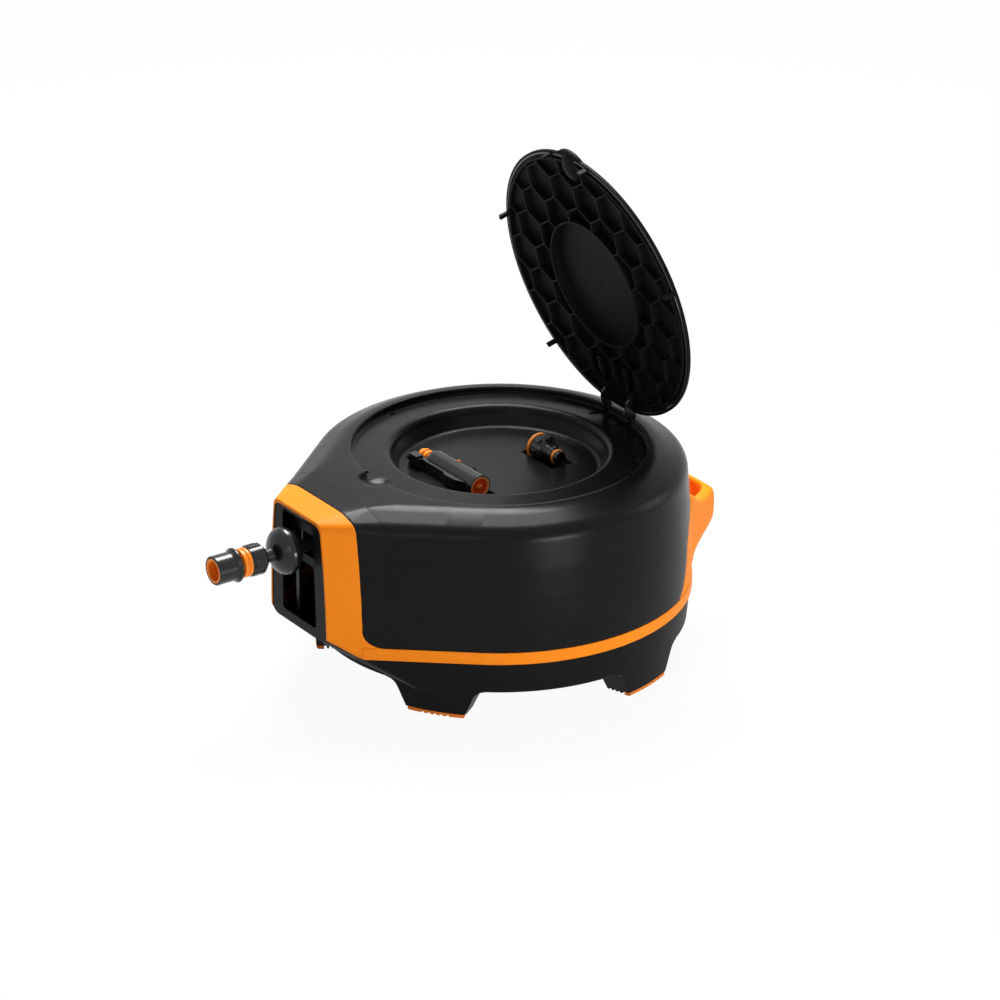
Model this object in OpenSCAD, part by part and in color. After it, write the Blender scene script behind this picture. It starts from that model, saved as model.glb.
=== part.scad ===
// Retractable garden hose reel, spring driven, with a storage bowl under a hinged lid.
// Millimetres. The origin is on the floor under the drum's axis, +Z up, the hose leaves towards -X.

/* [Housing] */
// Radius of the belt, the widest round of the body
body_r = 210; // [200:1:230]
// Height of the rim round the lid
body_h = 230.5; // [226:0.5:250]
// Width of the top between the belt and the recess of the lid
rim_w = 50; // [46:1:60]
// Distance of the hose outlet's front face from the drum's axis
nose_x = 258.5; // [254:0.5:275]
// Half width of the nose at its front face
nose_half = 55; // [50:0.5:60]
// Drop of the nose's top from the rim to the front face
droop = 12; // [6:0.5:14]
// Length of the orange surround along the nose
surround_len = 28.2; // [24:0.2:36]
// Wall of the mouldings
shell_t = 3; // [2.4:0.2:4]
// Height of the belt's lower edge above the floor
belt_z = 69; // [66:1:72]
// Height of the belt
belt_h = 14; // [10:1:18]
// How much the side leans in from the belt to the shoulder
side_draft = 6.6; // [3:0.2:9]

/* [Top] */
// Depth of the recess at its wall
recess_depth = 7.3; // [6:0.1:9]
// Radius of the storage bowl's mouth
bowl_r = 116; // [100:1:120]
// Depth of the storage bowl below the rim
bowl_depth = 26; // [20:0.5:28]
// Radius of the finger scoop's ball
scoop_r = 30; // [24:1:36]

/* [Lid] */
// Gap round the lid in its recess
lid_gap = 2; // [1:0.5:4]
// Wall of the lid's dome
lid_t = 2.5; // [2:0.1:3.5]
// Rise of the dome at its middle
lid_rise = 8; // [4:0.5:12]
// Angle at which the lid stands open
lid_open = 76; // [0:1:90]
// Side length of a hexagon of the rib lattice
hex_side = 24; // [18:1:32]
// Thickness of the lattice's ribs
rib_t = 1.6; // [1.4:0.1:3]
// Radius of the plain disc in the middle of the lattice
disc_r = 73.5; // [60:0.5:84]

/* [Feet] */
// Number of feet
foot_count = 5; // [4:1:6]
// Angle from foot to foot
foot_pitch = 72.5; // [70:0.5:76]
// How far the feet's outer face stands back from the belt
foot_inset = 8; // [6:0.5:16]
// Half width of a foot at the floor
foot_half = 31; // [24:1:36]
// Depth of a foot towards the axis
foot_depth = 30; // [24:1:50]
// Height of the base's lower edge between the feet
arch_h = 34.5; // [28:0.5:36]
// Thickness of a foot pad
pad_h = 5; // [3:0.5:8]

/* [Outlet] */
// Half width of the outlet opening at its top
open_top = 29.5; // [28.5:0.5:33]
// Half width of the outlet opening at its bottom
open_bottom = 32.5; // [30:0.5:36]
// Height of the opening's lower edge
open_z0 = 94; // [92:1:98]
// Depth of the opening's upper edge below the rim
open_drop = 19.5; // [18:0.5:22]

/* [Handle] */
// How far the grip stands out from the belt
grip_reach = 52; // [40:1:58]
// Half width over the grip's corners
grip_half = 54; // [50:1:62]
// Thickness of the grip and its legs
grip_t = 12; // [10:0.5:15]
// Height of the grip's lower face above the belt
grip_rise = 8; // [6:1:20]
// Height of the grip
grip_h = 43; // [34:1:50]

/* [Hose] */
// Outside diameter of the hose
hose_d = 14.8; // [13:0.2:15]
// Distance from turn to turn on the drum
hose_pitch = 15.4; // [15.3:0.1:15.6]
// Depth of the hose's middle at the outlet below the rim
hose_drop = 53.5; // [53.5:0.5:58]
// Bend radius of the hose behind the outlet
hose_bend = 68; // [64:1:72]
// Diameter of the stop ball
ball_d = 51.5; // [46:0.5:56]
// Length of the stop ball along the hose
ball_len = 32.4; // [28:0.2:36]

/* [Drum] */
// Distance of the drum's flanges from the belt's outside
side_gap = 26; // [24:0.5:30]
// How far the flanges stand out over the wound hose
flange_over = 20.5; // [16:0.5:24]
// Radius of the drum's core
core_r = 70; // [60:1:80]
// Thickness of the flanges
flange_t = 3; // [2.4:0.2:3]
// Radius of the fixed axle
axle_r = 15; // [12:0.5:18]
// Wall of the bearing bushes
bush_t = 4; // [3:0.5:5]
// How far the spring case stands back from the flanges
case_inset = 39; // [38:1:44]
// Height of the spring case
case_h = 30; // [26:1:30]
// Least room under the spring case
case_room = 22; // [20:0.5:22]
// Turns of the mainspring
spring_turns = 9; // [6:1:12]
// Thickness of the mainspring's strip
spring_t = 1.2; // [0.8:0.1:2]

/* [Level wind] */
// Module of the gears
gear_m = 3; // [3:0.5:3]
// Teeth of the ring gear on the drum
ring_teeth = 108; // [108:1:108]
// Teeth of the gear on the screw
screw_teeth = 24; // [24:1:24]
// Width of the gears' teeth
gear_w = 7; // [5:0.5:9]
// Radius of the winding screw
screw_r = 6; // [5:0.5:7]
// Sideways offset of the winding screw
screw_y = 36; // [34:1:40]
// Radius of the guide rods
rod_r = 3.5; // [3:0.25:4]
// Sideways offset of the guide rods
rod_y = 32.5; // [32:0.5:34]
// Distance of the guide rods behind the outlet's front face
rod_inset = 20.5; // [19.5:0.5:21.5]
// Height of the traveller
traveller_h = 46; // [40:1:48]

/* [Fits] */
// Radial clearance of a turning or sliding fit
run_gap = 0.05; // [0.02:0.01:0.1]
// Gap between parts that pass each other
free_gap = 0.5; // [0.3:0.1:0.8]

/* [Hidden] */
$fn = 96;

// Sizes that follow from the ones above
recess_r = body_r - rim_w;
lid_r = recess_r - lid_gap;
foot_r = body_r - foot_inset;
grip_x = body_r + grip_reach;
flange_r = body_r - side_gap;
case_r = flange_r - case_inset;
rod_x = nose_x - rod_inset;
hose_z = body_h - hose_drop;
open_z1 = body_h - open_drop;
floor_under = arch_h - 0.5;
floor_top = floor_under + shell_t;
// The outer layer has as many turns as fit above the spring case
hose_turns = floor((hose_z - hose_d / 2 - free_gap - flange_t - case_h - case_room - floor_top) / hose_pitch);

black = [0.11, 0.11, 0.115];
gloss = [0.06, 0.06, 0.065];
orange = [0.95, 0.42, 0.04];
steel = [0.66, 0.67, 0.68];
grey = [0.3, 0.31, 0.32];
white = [0.85, 0.85, 0.83];

// Side and shoulder of the housing
side_z0 = belt_z + belt_h;
edge_r = 17;
crest_r = 34;
shoulder = 24;
lean = 6;
rim_land = 3;
crest_x = recess_r + rim_land;
side_top_z = body_h - 24;
side_top_r = body_r - 0.5 - side_draft;
crest_end = [crest_x + crest_r * sin(shoulder), body_h - crest_r * (1 - cos(shoulder))];
edge_cx = side_top_r - edge_r * cos(lean);
slope_run = (edge_cx + edge_r * sin(shoulder) - crest_end.x) / cos(shoulder);
edge_cz = crest_end.y - slope_run * sin(shoulder) - edge_r * cos(shoulder);
edge_z = edge_cz + edge_r * sin(lean);
function side_r(z) = body_r - 0.5 - side_draft * pow(max(0, (z - side_z0) / (side_top_z - side_z0)), 2);
// Outline of the body from the belt to the rim, moved in by g
function body_profile(g, z0) = concat(
    [[0, z0]],
    [for (i = [0 : 3]) let (z = z0 + (edge_z - z0) * i / 4) [side_r(z) - g, z]],
    [for (i = [0 : 6]) let (a = lean + (90 - shoulder - lean) * i / 6)
        [edge_cx + (edge_r - g) * cos(a), edge_cz + (edge_r - g) * sin(a)]],
    [for (i = [0 : 3]) let (a = 90 - shoulder + shoulder * i / 3)
        [crest_x + (crest_r - g) * cos(a), body_h - crest_r + (crest_r - g) * sin(a)]],
    [[0, body_h - g]]);
// Half angle between the nose's sides, which touch the round body and end at the front face
side_foot = body_r - 0.5;
nose_angle = asin(side_foot / norm([nose_x, nose_half])) - atan(nose_half / nose_x);
// The nose droops along an arc from the lid's rim to the outlet
droop_x = recess_r + 5;
droop_r = (pow(nose_x - droop_x, 2) + droop * droop) / (2 * droop);
// The nose's underside rises from the base to the outlet
chin_x = body_r - 25;
chin_z = side_z0;
surround_x = nose_x - surround_len;
far = 320;
// From here on the shoulder of the nose narrows to the small corner of the front face
taper_x = nose_x - 53;

module mirror_y() {
    children();
    mirror([0, 1, 0]) children();
}

// Sector towards the outlet between the two lines where the nose's sides touch the round body
module nose_sector() {
    reach = far * 1.4;
    translate([0, 0, -10]) linear_extrude(body_h + 20)
        polygon([[0, 0], [-reach * sin(nose_angle), reach * cos(nose_angle)],
            [-reach, 0], [-reach * sin(nose_angle), -reach * cos(nose_angle)]]);
}

// The sides lie a hair inside the round body where they touch it, so that the two cross cleanly
tangent_inset = 0.03;
module side_sweep(points) {
    rotate([0, 0, 90 + nose_angle]) rotate([90, 0, 0])
        linear_extrude(2 * far, center = true) translate([-tangent_inset, 0]) polygon(points);
}

// Tapered nose whose sides run on from the round body without a step
module nose_block(points) {
    intersection() {
        side_sweep(points);
        mirror([0, 1, 0]) side_sweep(points);
        nose_sector();
    }
}

module round_block(points) {
    rotate_extrude() polygon(points);
}

// Everything under the drooping top of the nose
module droop_limit(g) {
    translate([-droop_x, 0, body_h - droop_r]) rotate([90, 0, 0])
        cylinder(r = droop_r - g, h = 2 * far, center = true, $fn = 360);
    translate([-droop_x, -far, 0]) cube([2 * far, 2 * far, body_h + 1]);
}

// Half width of the nose at distance x, where the round body would have radius r
function nose_w(r, x) = (r - x * sin(nose_angle)) / cos(nose_angle);
function droop_z(x) = body_h - droop_r + sqrt(droop_r * droop_r - pow(x - droop_x, 2));
corner_r = 9;
// Half outline of the nose, as [half width, height]: rounded shoulder where the taper begins,
// small corner at the front face
function wide_half(g, z0) = [for (i = [1 : 15]) let (p = body_profile(g, z0)[i])
    [nose_w(p.x, taper_x), min(p.y, droop_z(taper_x) - g)]];
function front_half(g, z0) = let (top = droop_z(nose_x) - g, r = corner_r, z1 = top - r,
        w = nose_w(side_r(z1), nose_x) - g) concat(
    [for (i = [0 : 3]) let (z = z0 + (z1 - z0) * i / 4) [nose_w(side_r(z), nose_x) - g, z]],
    [for (i = [0 : 6]) let (a = 2 + 88 * i / 6) [w - r + r * cos(a), z1 + r * sin(a)]],
    [for (i = [0 : 3]) [(w - r) * (1 - (i + 1) / 5), top]]);
function middle_half(g, z0) = let (a = wide_half(g, z0), b = front_half(g, z0), x = (taper_x + nose_x) / 2,
        lift = droop_z(x) - (droop_z(taper_x) + droop_z(nose_x)) / 2)
    [for (i = [0 : 14]) (a[i] + b[i]) / 2 + [0, lift * i / 14]];
module nose_section(x, half) {
    translate([-x, 0, 0]) rotate([90, 0, 90]) linear_extrude(0.02)
        polygon(concat(half, [for (i = [len(half) - 1 : -1 : 0]) [-half[i].x, half[i].y]]));
}
module nose_front(g, z0) {
    hull() {
        nose_section(taper_x - 0.5, [for (p = wide_half(g, z0)) p - [tangent_inset, tangent_inset]]);
        nose_section((taper_x + nose_x) / 2, middle_half(g, z0));
        nose_section(nose_x + (g > 0 ? 2 : 0), front_half(g, z0));
    }
}

// Everything above the rising underside of the nose, whose side edges are rounded, moved in by g
chin_r = 14;
module chin_section(x, z, half, g) {
    r = chin_r - g;
    translate([-x, 0, 0]) rotate([90, 0, 90]) linear_extrude(0.02) polygon(concat(
        [[-half - 60, far], [-half - 60, z + chin_r + 60], [-half + g, z + chin_r]],
        [for (a = [195 : 15 : 270]) [-half + chin_r + r * cos(a), z + chin_r + r * sin(a)]],
        [for (a = [270 : 15 : 345]) [half - chin_r + r * cos(a), z + chin_r + r * sin(a)]],
        [[half - g, z + chin_r], [half + 60, z + chin_r + 60], [half + 60, far]]));
}
module chin_limit(g) {
    out = nose_x + 20;
    rise = (chin_z - arch_h) / (nose_x - chin_x);
    spread = tan(nose_angle);
    hull() {
        chin_section(chin_x, arch_h, nose_w(side_foot, chin_x), g);
        chin_section(out, arch_h + rise * (out - chin_x), nose_w(side_foot, chin_x) - spread * (out - chin_x), g);
    }
    translate([-chin_x - 0.01, -far, arch_h - 60]) cube([2 * far, 2 * far, far]);
}

// Solid body between the planes at x0 and x1, moved in by g
module body_slab(g, z0, x0, x1) {
    intersection() {
        union() {
            intersection() {
                union() {
                    round_block(body_profile(g, z0));
                    nose_block(body_profile(g, z0));
                }
                droop_limit(g);
                translate([-taper_x, -far, 0]) cube([2 * far, 2 * far, body_h + 1]);
            }
            nose_front(g, z0);
        }
        translate([x0, -far, 0]) cube([x1 - x0, 2 * far, body_h + 1]);
    }
}

// Recess and bowl in the top
ring_z = body_h - recess_depth;
ring_in_z = body_h - 4.8;
floor_z = body_h - bowl_depth;
floor_r = bowl_r - 6;
lip_r = 8;
module bowl_cut() {
    rotate_extrude() polygon(concat(
        [[0, floor_z], [floor_r - 4, floor_z], [floor_r - 1, floor_z + 1.4], [floor_r, floor_z + 4]],
        [for (i = [0 : 5]) let (a = 180 - 90 * i / 5)
            [bowl_r + lip_r + lip_r * cos(a), ring_in_z - lip_r + lip_r * sin(a)]],
        [[recess_r, ring_z], [recess_r, body_h + 30], [0, body_h + 30]]));
}

module bowl_under() {
    rotate_extrude() polygon([[0, floor_z - shell_t], [floor_r + 1, floor_z - shell_t],
        [bowl_r + shell_t, ring_in_z - lip_r - shell_t], [bowl_r + lip_r, ring_in_z - shell_t],
        [crest_x, ring_z - shell_t], [crest_x, body_h + 30], [0, body_h + 30]]);
}

scoop_x = recess_r - 3;
scoop_z = body_h + sqrt(scoop_r * scoop_r - 22 * 22);
module scoop(g) {
    r = scoop_r + g;
    translate([-scoop_x, 0, scoop_z]) rotate_extrude($fn = 72) polygon(concat(
        [for (i = [0 : 10]) [r * sin(i * 6), -r * cos(i * 6)]], [[r * sin(60), 30], [0, 30]]));
}

// Places of the lid's six clips, as angle from +X
clip_angles = [44.5, 105, 168];
clip_r = lid_r - 3.5;
clip_w = 5.5;
clip_t = 3;
module at_clips() {
    for (s = [-1, 1], a = clip_angles) rotate([0, 0, s * a]) translate([clip_r, 0, 0]) children();
}

// Hinge of the lid
hinge_x = recess_r + 3;
hinge_z = body_h - 3;
hinge_y = 22;
arm_t = 3;
pin_r = 2;
eye_r = 3.8;
boss_w = 7;
pin_len = 12;
module at_hinges() {
    for (s = [-1, 1]) translate([hinge_x, s * hinge_y, hinge_z]) rotate([90, 0, 0]) children();
}

// Accessories in the bowl, lying along Y
tool_z = body_h - bowl_depth + 6.5;
nozzle_x = -58;
nozzle_r = 13.5;
nozzle_y0 = -47;
nozzle_y1 = 63;
tap_x = 57;
tap_r = 15.4;
tap_y0 = -34;
tap_y1 = 12;
tray_gap = 1;
module along_y(x, y0, y1, r) {
    translate([x, y1, tool_z]) rotate([90, 0, 0]) cylinder(r = r, h = y1 - y0);
}
module trays(g) {
    along_y(nozzle_x, nozzle_y0 - 10 - g, nozzle_y1 + 4 + g, nozzle_r + tray_gap + g);
    along_y(tap_x, tap_y0 - 5 - g, tap_y1 + 6 + g, tap_r + tray_gap + g);
}

// Edge between the black side and the orange panel at the back, as half width and height
panel_z1 = body_h - 62.5;
panel_x = 60;
panel_curve = [[0.576, 1], [0.667, 0.918], [0.7095, 0.812], [0.7476, 0.647], [0.7857, 0.282], [0.8143, 0.106],
    [0.8476, 0]];
panel_edge = [for (p = panel_curve) [body_r * p.x, side_z0 + (panel_z1 - side_z0) * p.y]];
module panel_mask(g) {
    translate([panel_x, 0, 0]) rotate([90, 0, 90]) linear_extrude(far)
        polygon(concat([for (p = panel_edge) [p.x + g, p.y + g]],
            [[far, side_z0 + g], [far, 0], [-far, 0], [-far, side_z0 + g]],
            [for (i = [len(panel_edge) - 1 : -1 : 0]) [-panel_edge[i].x - g, panel_edge[i].y + g]]));
}

// Level wind
ring_pitch_r = gear_m * ring_teeth / 2;
screw_pitch_r = gear_m * screw_teeth / 2;
screw_dist = ring_pitch_r + screw_pitch_r;
screw_x = sqrt(screw_dist * screw_dist - screw_y * screw_y);
module at_screw() {
    translate([-screw_x, -screw_y, 0]) children();
}

// Heights of the drum
wind_top = hose_z + hose_d / 2 + free_gap;
wind_bottom = hose_z - hose_turns * hose_pitch - hose_d / 2 - free_gap;
flange_top = wind_top + flange_t;
case_top = wind_bottom - flange_t;
case_bottom = case_top - case_h;
// The ring gear hangs under the lower flange
gear_z = case_top - gear_w;
screw_top = flange_top + 16;
layer_r = flange_r - flange_over - hose_d / 2;
land_r = layer_r + hose_d + free_gap;

// Rounded lower front corner of the black sides
panel_r = 18;
module front_corner(g) {
    translate([-surround_x, far, side_z0]) rotate([90, 0, 0]) linear_extrude(2 * far) difference() {
        translate([-1, -1]) square([panel_r + 1, panel_r + 1]);
        translate([panel_r, panel_r]) circle(r = panel_r + g);
    }
}

boss_r = 9;
module top_housing() {
    color(black) difference() {
        union() {
            difference() {
                body_slab(0, side_z0 - 1, -surround_x, far);
                difference() {
                    body_slab(shell_t, side_z0 - 2, -surround_x - 1, far);
                    bowl_under();
                    scoop(shell_t);
                }
            }
            difference() {
                intersection() {
                    trays(shell_t);
                    translate([0, 0, floor_z - 20]) cylinder(r = floor_r, h = 20);
                }
                trays(0);
            }
            for (s = [-1, 1]) translate([hinge_x - 2, s * hinge_y - boss_w, hinge_z - 10])
                cube([10, 2 * boss_w, 11]);
            at_screw() translate([0, 0, screw_top - 12]) cylinder(r = boss_r, h = body_h - screw_top + 8);
        }
        translate([-far, -far, 0]) cube([2 * far, 2 * far, side_z0]);
        bowl_cut();
        scoop(0);
        trays(0);
        panel_mask(0);
        front_corner(0);
        at_clips() translate([0, 0, body_h - 10]) cube([clip_t + 1.5, clip_w + 1.5, 40], center = true);
        for (s = [-1, 1]) translate([hinge_x - 26, s * hinge_y - arm_t / 2 - free_gap, body_h - 18])
            cube([26 + eye_r + 1, arm_t + 2 * free_gap, 30]);
        at_hinges() cylinder(r = pin_r, h = pin_len, center = true);
        at_screw() translate([0, 0, screw_top - 20]) cylinder(r = screw_r + run_gap, h = 20 + free_gap);
    }
}

module outlet_surround() {
    color(orange) difference() {
        intersection() {
            union() {
                body_slab(0, belt_z, -nose_x, -surround_x);
                intersection() {
                    body_slab(0, side_z0, -surround_x - 1, panel_r - surround_x);
                    front_corner(0);
                }
            }
            chin_limit(0);
        }
        body_slab(shell_t + 1, belt_z - 30, -nose_x - 1, panel_r - surround_x + 1);
    }
}

frame_d = surround_len - 1;
rod_z0 = side_z0 - 10;
rod_z1 = open_z1 + 2;
module at_rods() {
    for (s = [-1, 1]) translate([-rod_x, s * rod_y, 0]) children();
}

module opening(d) {
    translate([-nose_x - 1, 0, 0]) rotate([90, 0, 90]) linear_extrude(d + 1)
        polygon(concat(
            [for (a = [0 : 22.5 : 90]) [open_top - 5 + 5 * cos(a), open_z1 - 5 + 5 * sin(a)]],
            [for (a = [90 : 22.5 : 180]) [-open_top + 5 + 5 * cos(a), open_z1 - 5 + 5 * sin(a)]],
            [for (a = [180 : 22.5 : 270]) [-open_bottom + 5 + 5 * cos(a), open_z0 + 5 + 5 * sin(a)]],
            [for (a = [270 : 22.5 : 360]) [open_bottom - 5 + 5 * cos(a), open_z0 + 5 + 5 * sin(a)]]));
}

module outlet_frame() {
    color(gloss) difference() {
        intersection() {
            body_slab(shell_t + 1, belt_z - 30, -nose_x + 0.6, -nose_x + frame_d);
            chin_limit(0.3);
            union() {
                difference() {
                    translate([-nose_x, -far, 0]) cube([far, 2 * far, body_h]);
                    intersection() {
                        body_slab(shell_t + 4, belt_z - 30, -nose_x + 4, -nose_x + frame_d + 1);
                        chin_limit(3);
                    }
                }
                // Sockets for the guide rods
                at_rods() translate([0, 0, rod_z0 - 8]) cylinder(r = rod_r + 2.5, h = 15);
                at_rods() translate([0, 0, rod_z1 - 8]) cylinder(r = rod_r + 2.5, h = 20);
            }
        }
        opening(4.5);
        at_rods() translate([0, 0, rod_z0]) cylinder(r = rod_r, h = rod_z1 - rod_z0);
    }
}

module belt_band() {
    points = [[0, belt_z - 1], [body_r - 1, belt_z - 1], [body_r - 1, belt_z], [body_r, belt_z + 1],
        [body_r, side_z0 - 1], [body_r - 0.5, side_z0], [body_r - 0.5, side_z0 + 1], [0, side_z0 + 1]];
    inner = [[0, belt_z - 2], [body_r - 6, belt_z - 2], [body_r - 6, side_z0 + 2], [0, side_z0 + 2]];
    color(orange) difference() {
        intersection() {
            union() {
                round_block(points);
                nose_block(points);
            }
            translate([-surround_x, -far, belt_z]) cube([2 * far, 2 * far, belt_h]);
        }
        round_block(inner);
        nose_block(inner);
    }
}

// Plan of the handle: legs that run out from the body to a straight grip
root_angle = 34.6;
root_x = body_r * cos(root_angle);
root_y = body_r * sin(root_angle);
grip_round = 16;
grip_z0 = side_z0 + grip_rise;
grip_z1 = grip_z0 + grip_h;
// Half outline round the handle, moved in by t
function handle_half(t, r) = let (lean = atan((root_y - grip_half) / (grip_x - r - root_x))) concat(
    [[root_x - t, root_y - t - 2]],
    [for (i = [0 : 6]) let (a = (90 - lean) - (90 - lean) * i / 6)
        [grip_x - t - r + r * cos(a), grip_half - t - r + r * sin(a)]]);
module handle_outline(t, r) {
    half = handle_half(t, r);
    polygon(concat([[panel_x, root_y - t - 2]], half,
        [for (i = [len(half) - 1 : -1 : 0]) [half[i].x, -half[i].y]], [[panel_x, t + 2 - root_y]]));
}
module handle_plan() {
    difference() {
        handle_outline(0, grip_round);
        handle_outline(grip_t, grip_round - 4);
    }
}

// Side view of the handle, from the panel's top to the belt
module handle_side() {
    top = (panel_z1 + grip_z1) / 2;
    translate([0, far, 0]) rotate([90, 0, 0]) linear_extrude(2 * far) polygon([
        [panel_x, panel_z1 - 1], [root_x + 2, panel_z1 - 2], [root_x + 18, top + 4], [root_x + 42, grip_z1 + 5],
        [grip_x - 24, grip_z1], [grip_x - 11, grip_z1], [grip_x - 5, grip_z1 - 1.5], [grip_x - 1.5, grip_z1 - 6],
        [grip_x + 0.5, grip_z1 - 14], [grip_x + 0.5, grip_z0 + 14], [grip_x - 2, grip_z0 + 5],
        [grip_x - 7, grip_z0 + 1], [grip_x - 14, grip_z0], [grip_x - 50, grip_z0 - 0.5],
        [root_x + 20, grip_z0 - 2], [root_x + 6, grip_z0 - 5], [root_x - 4, side_z0 + 0.5],
        [panel_x, side_z0 + 0.5]]);
}

module rear_handle() {
    color(orange) {
        difference() {
            intersection() {
                round_block(body_profile(0, side_z0));
                panel_mask(0);
            }
            round_block(body_profile(shell_t, side_z0 - 1));
            translate([-far, -far, 0]) cube([far + panel_x, 2 * far, body_h]);
        }
        difference() {
            intersection() {
                linear_extrude(body_h) handle_plan();
                handle_side();
            }
            translate([0, 0, side_z0 - 1]) cylinder(r = side_top_r - 1, h = body_h);
            translate([panel_x - 1, -far, 0]) cube([root_x - panel_x - 11, 2 * far, body_h]);
        }
    }
}

// Base: a cone from the belt to the feet, with an arch cut between the feet
function base_r(z) = foot_r + (body_r - 2 - foot_r) * (z - pad_h) / (belt_z - pad_h);
base_profile = [[0, floor_under], [base_r(arch_h) - 1.5, floor_under], [base_r(arch_h + 1), arch_h + 1],
    [body_r - 2, belt_z], [body_r - 2, belt_z + 2], [0, belt_z + 2]];
base_inner = [[0, floor_top], [base_r(floor_top) - shell_t, floor_top],
    [body_r - 2 - shell_t, belt_z + 1], [0, belt_z + 1]];

// Outline of a foot seen from outside, its sides rounded into the arch
fillet_r = 14;
foot_lean = 24;
module foot_front(z0) {
    zc = arch_h - fillet_r;
    xc = foot_half + (zc - z0) * tan(foot_lean) + fillet_r / cos(foot_lean);
    fillet = [for (i = [0 : 5]) let (a = 180 - foot_lean - (90 - foot_lean) * i / 5)
        [xc + fillet_r * cos(a), zc + fillet_r * sin(a)]];
    polygon(concat([[-foot_half, z0], [foot_half, z0]], fillet, [[xc + 1, arch_h + 5], [-xc - 1, arch_h + 5]],
        [for (i = [5 : -1 : 0]) [-fillet[i].x, fillet[i].y]]));
}

module at_feet() {
    for (i = [0 : foot_count - 1]) rotate([0, 0, (i - (foot_count - 1) / 2) * foot_pitch]) children();
}

pad_depth = 8;
foot_ribs = 4;
// Ring that all feet are cut from: deep ribs behind the pad run round the ring
module foot_ring() {
    rib_pitch = (foot_depth - pad_depth) / foot_ribs;
    rotate_extrude() polygon(concat([[foot_r - foot_depth - 4, arch_h + 5], [foot_r - foot_depth, pad_h]],
        [for (i = [0 : foot_ribs - 1]) let (r = foot_r - foot_depth + i * rib_pitch)
            each [[r + 0.4, 0.8], [r + 2.4, 0.8], [r + 2.8, pad_h], [r + rib_pitch, pad_h]]],
        [[foot_r, pad_h], [base_r(arch_h + 5) - 0.02, arch_h + 5]]));
}

bearing_z = floor_top + 17;
module base_housing() {
    color(black) difference() {
        union() {
            difference() {
                union() {
                    difference() {
                        union() {
                            round_block(base_profile);
                            intersection() {
                                nose_block(base_profile);
                                chin_limit(0);
                                translate([-surround_x, -far, 0]) cube([far, 2 * far, body_h]);
                            }
                        }
                        translate([-far, -far, belt_z]) cube([2 * far, 2 * far, 10]);
                    }
                    intersection() {
                        foot_ring();
                        at_feet() rotate([90, 0, 90]) linear_extrude(far) foot_front(0);
                    }
                }
                round_block(base_inner);
                intersection() {
                    nose_block(base_inner);
                    chin_limit(shell_t);
                }
            }
            translate([0, 0, floor_under + 1]) cylinder(r = axle_r + 10, h = shell_t + 0.5);
            intersection() {
                at_screw() translate([0, 0, floor_under + 1]) cylinder(r = screw_r + 4, h = bearing_z - floor_under - 1);
                chin_limit(0.5);
            }
        }
        translate([0, 0, floor_under]) cylinder(r = axle_r, h = 20);
        at_inlet(base_r(pipe_z) - 16) cylinder(r = inlet_r + 1, h = 40);
    }
}

pad_ribs = 4;
module foot_pads() {
    end_w = 15;
    rib_pitch = (2 * foot_half - 2 * end_w) / (pad_ribs + 0.6);
    color(orange) intersection() {
        rotate_extrude() polygon([[foot_r - pad_depth, 0], [foot_r - 2, 0], [foot_r, 1.5],
            [foot_r, pad_h], [foot_r - pad_depth, pad_h]]);
        at_feet() union() {
            translate([foot_r - foot_depth, -foot_half, 2.5]) cube([foot_depth + 10, 2 * foot_half, pad_h]);
            for (s = [-1, 1]) translate([foot_r - foot_depth, s * (foot_half - end_w / 2) - end_w / 2, -1])
                cube([foot_depth + 10, end_w, pad_h + 2]);
            for (i = [0 : pad_ribs - 1])
                translate([foot_r - foot_depth, (i - (pad_ribs - 1) / 2) * rib_pitch - 1.6, -1])
                    cube([foot_depth + 10, 3.2, pad_h + 2]);
        }
    }
}

// Lid, modelled shut and then turned open about its hinge
lid_flange_z = body_h + 0.6;
lid_top_z = body_h + 3.4;
rib_z = body_h - 3.3;
skirt_r = lid_r - 7;
skirt_h = 3.2;
lattice_r = skirt_r - lid_t + 0.5;
function dome_z(r) = lid_top_z + lid_rise * (1 - pow(r / lid_r, 2));
module opened_lid() {
    translate([hinge_x, 0, hinge_z]) rotate([0, lid_open, 0]) translate([-hinge_x, 0, -hinge_z]) children();
}

module hex_lattice() {
    apothem = hex_side * cos(30);
    cells = ceil(lid_r / apothem / 2) + 1;
    difference() {
        circle(r = lattice_r);
        circle(r = disc_r);
        for (i = [-cells : cells], j = [-cells : cells]) {
            centre = [i * 1.5 * hex_side, (2 * j + abs(i % 2)) * apothem];
            if (norm(centre) < lattice_r + hex_side && norm(centre) > disc_r - hex_side)
                translate(centre) circle(r = (apothem - rib_t / 2) / cos(30), $fn = 6);
        }
    }
    difference() {
        circle(r = disc_r + rib_t);
        circle(r = disc_r);
    }
}

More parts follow.
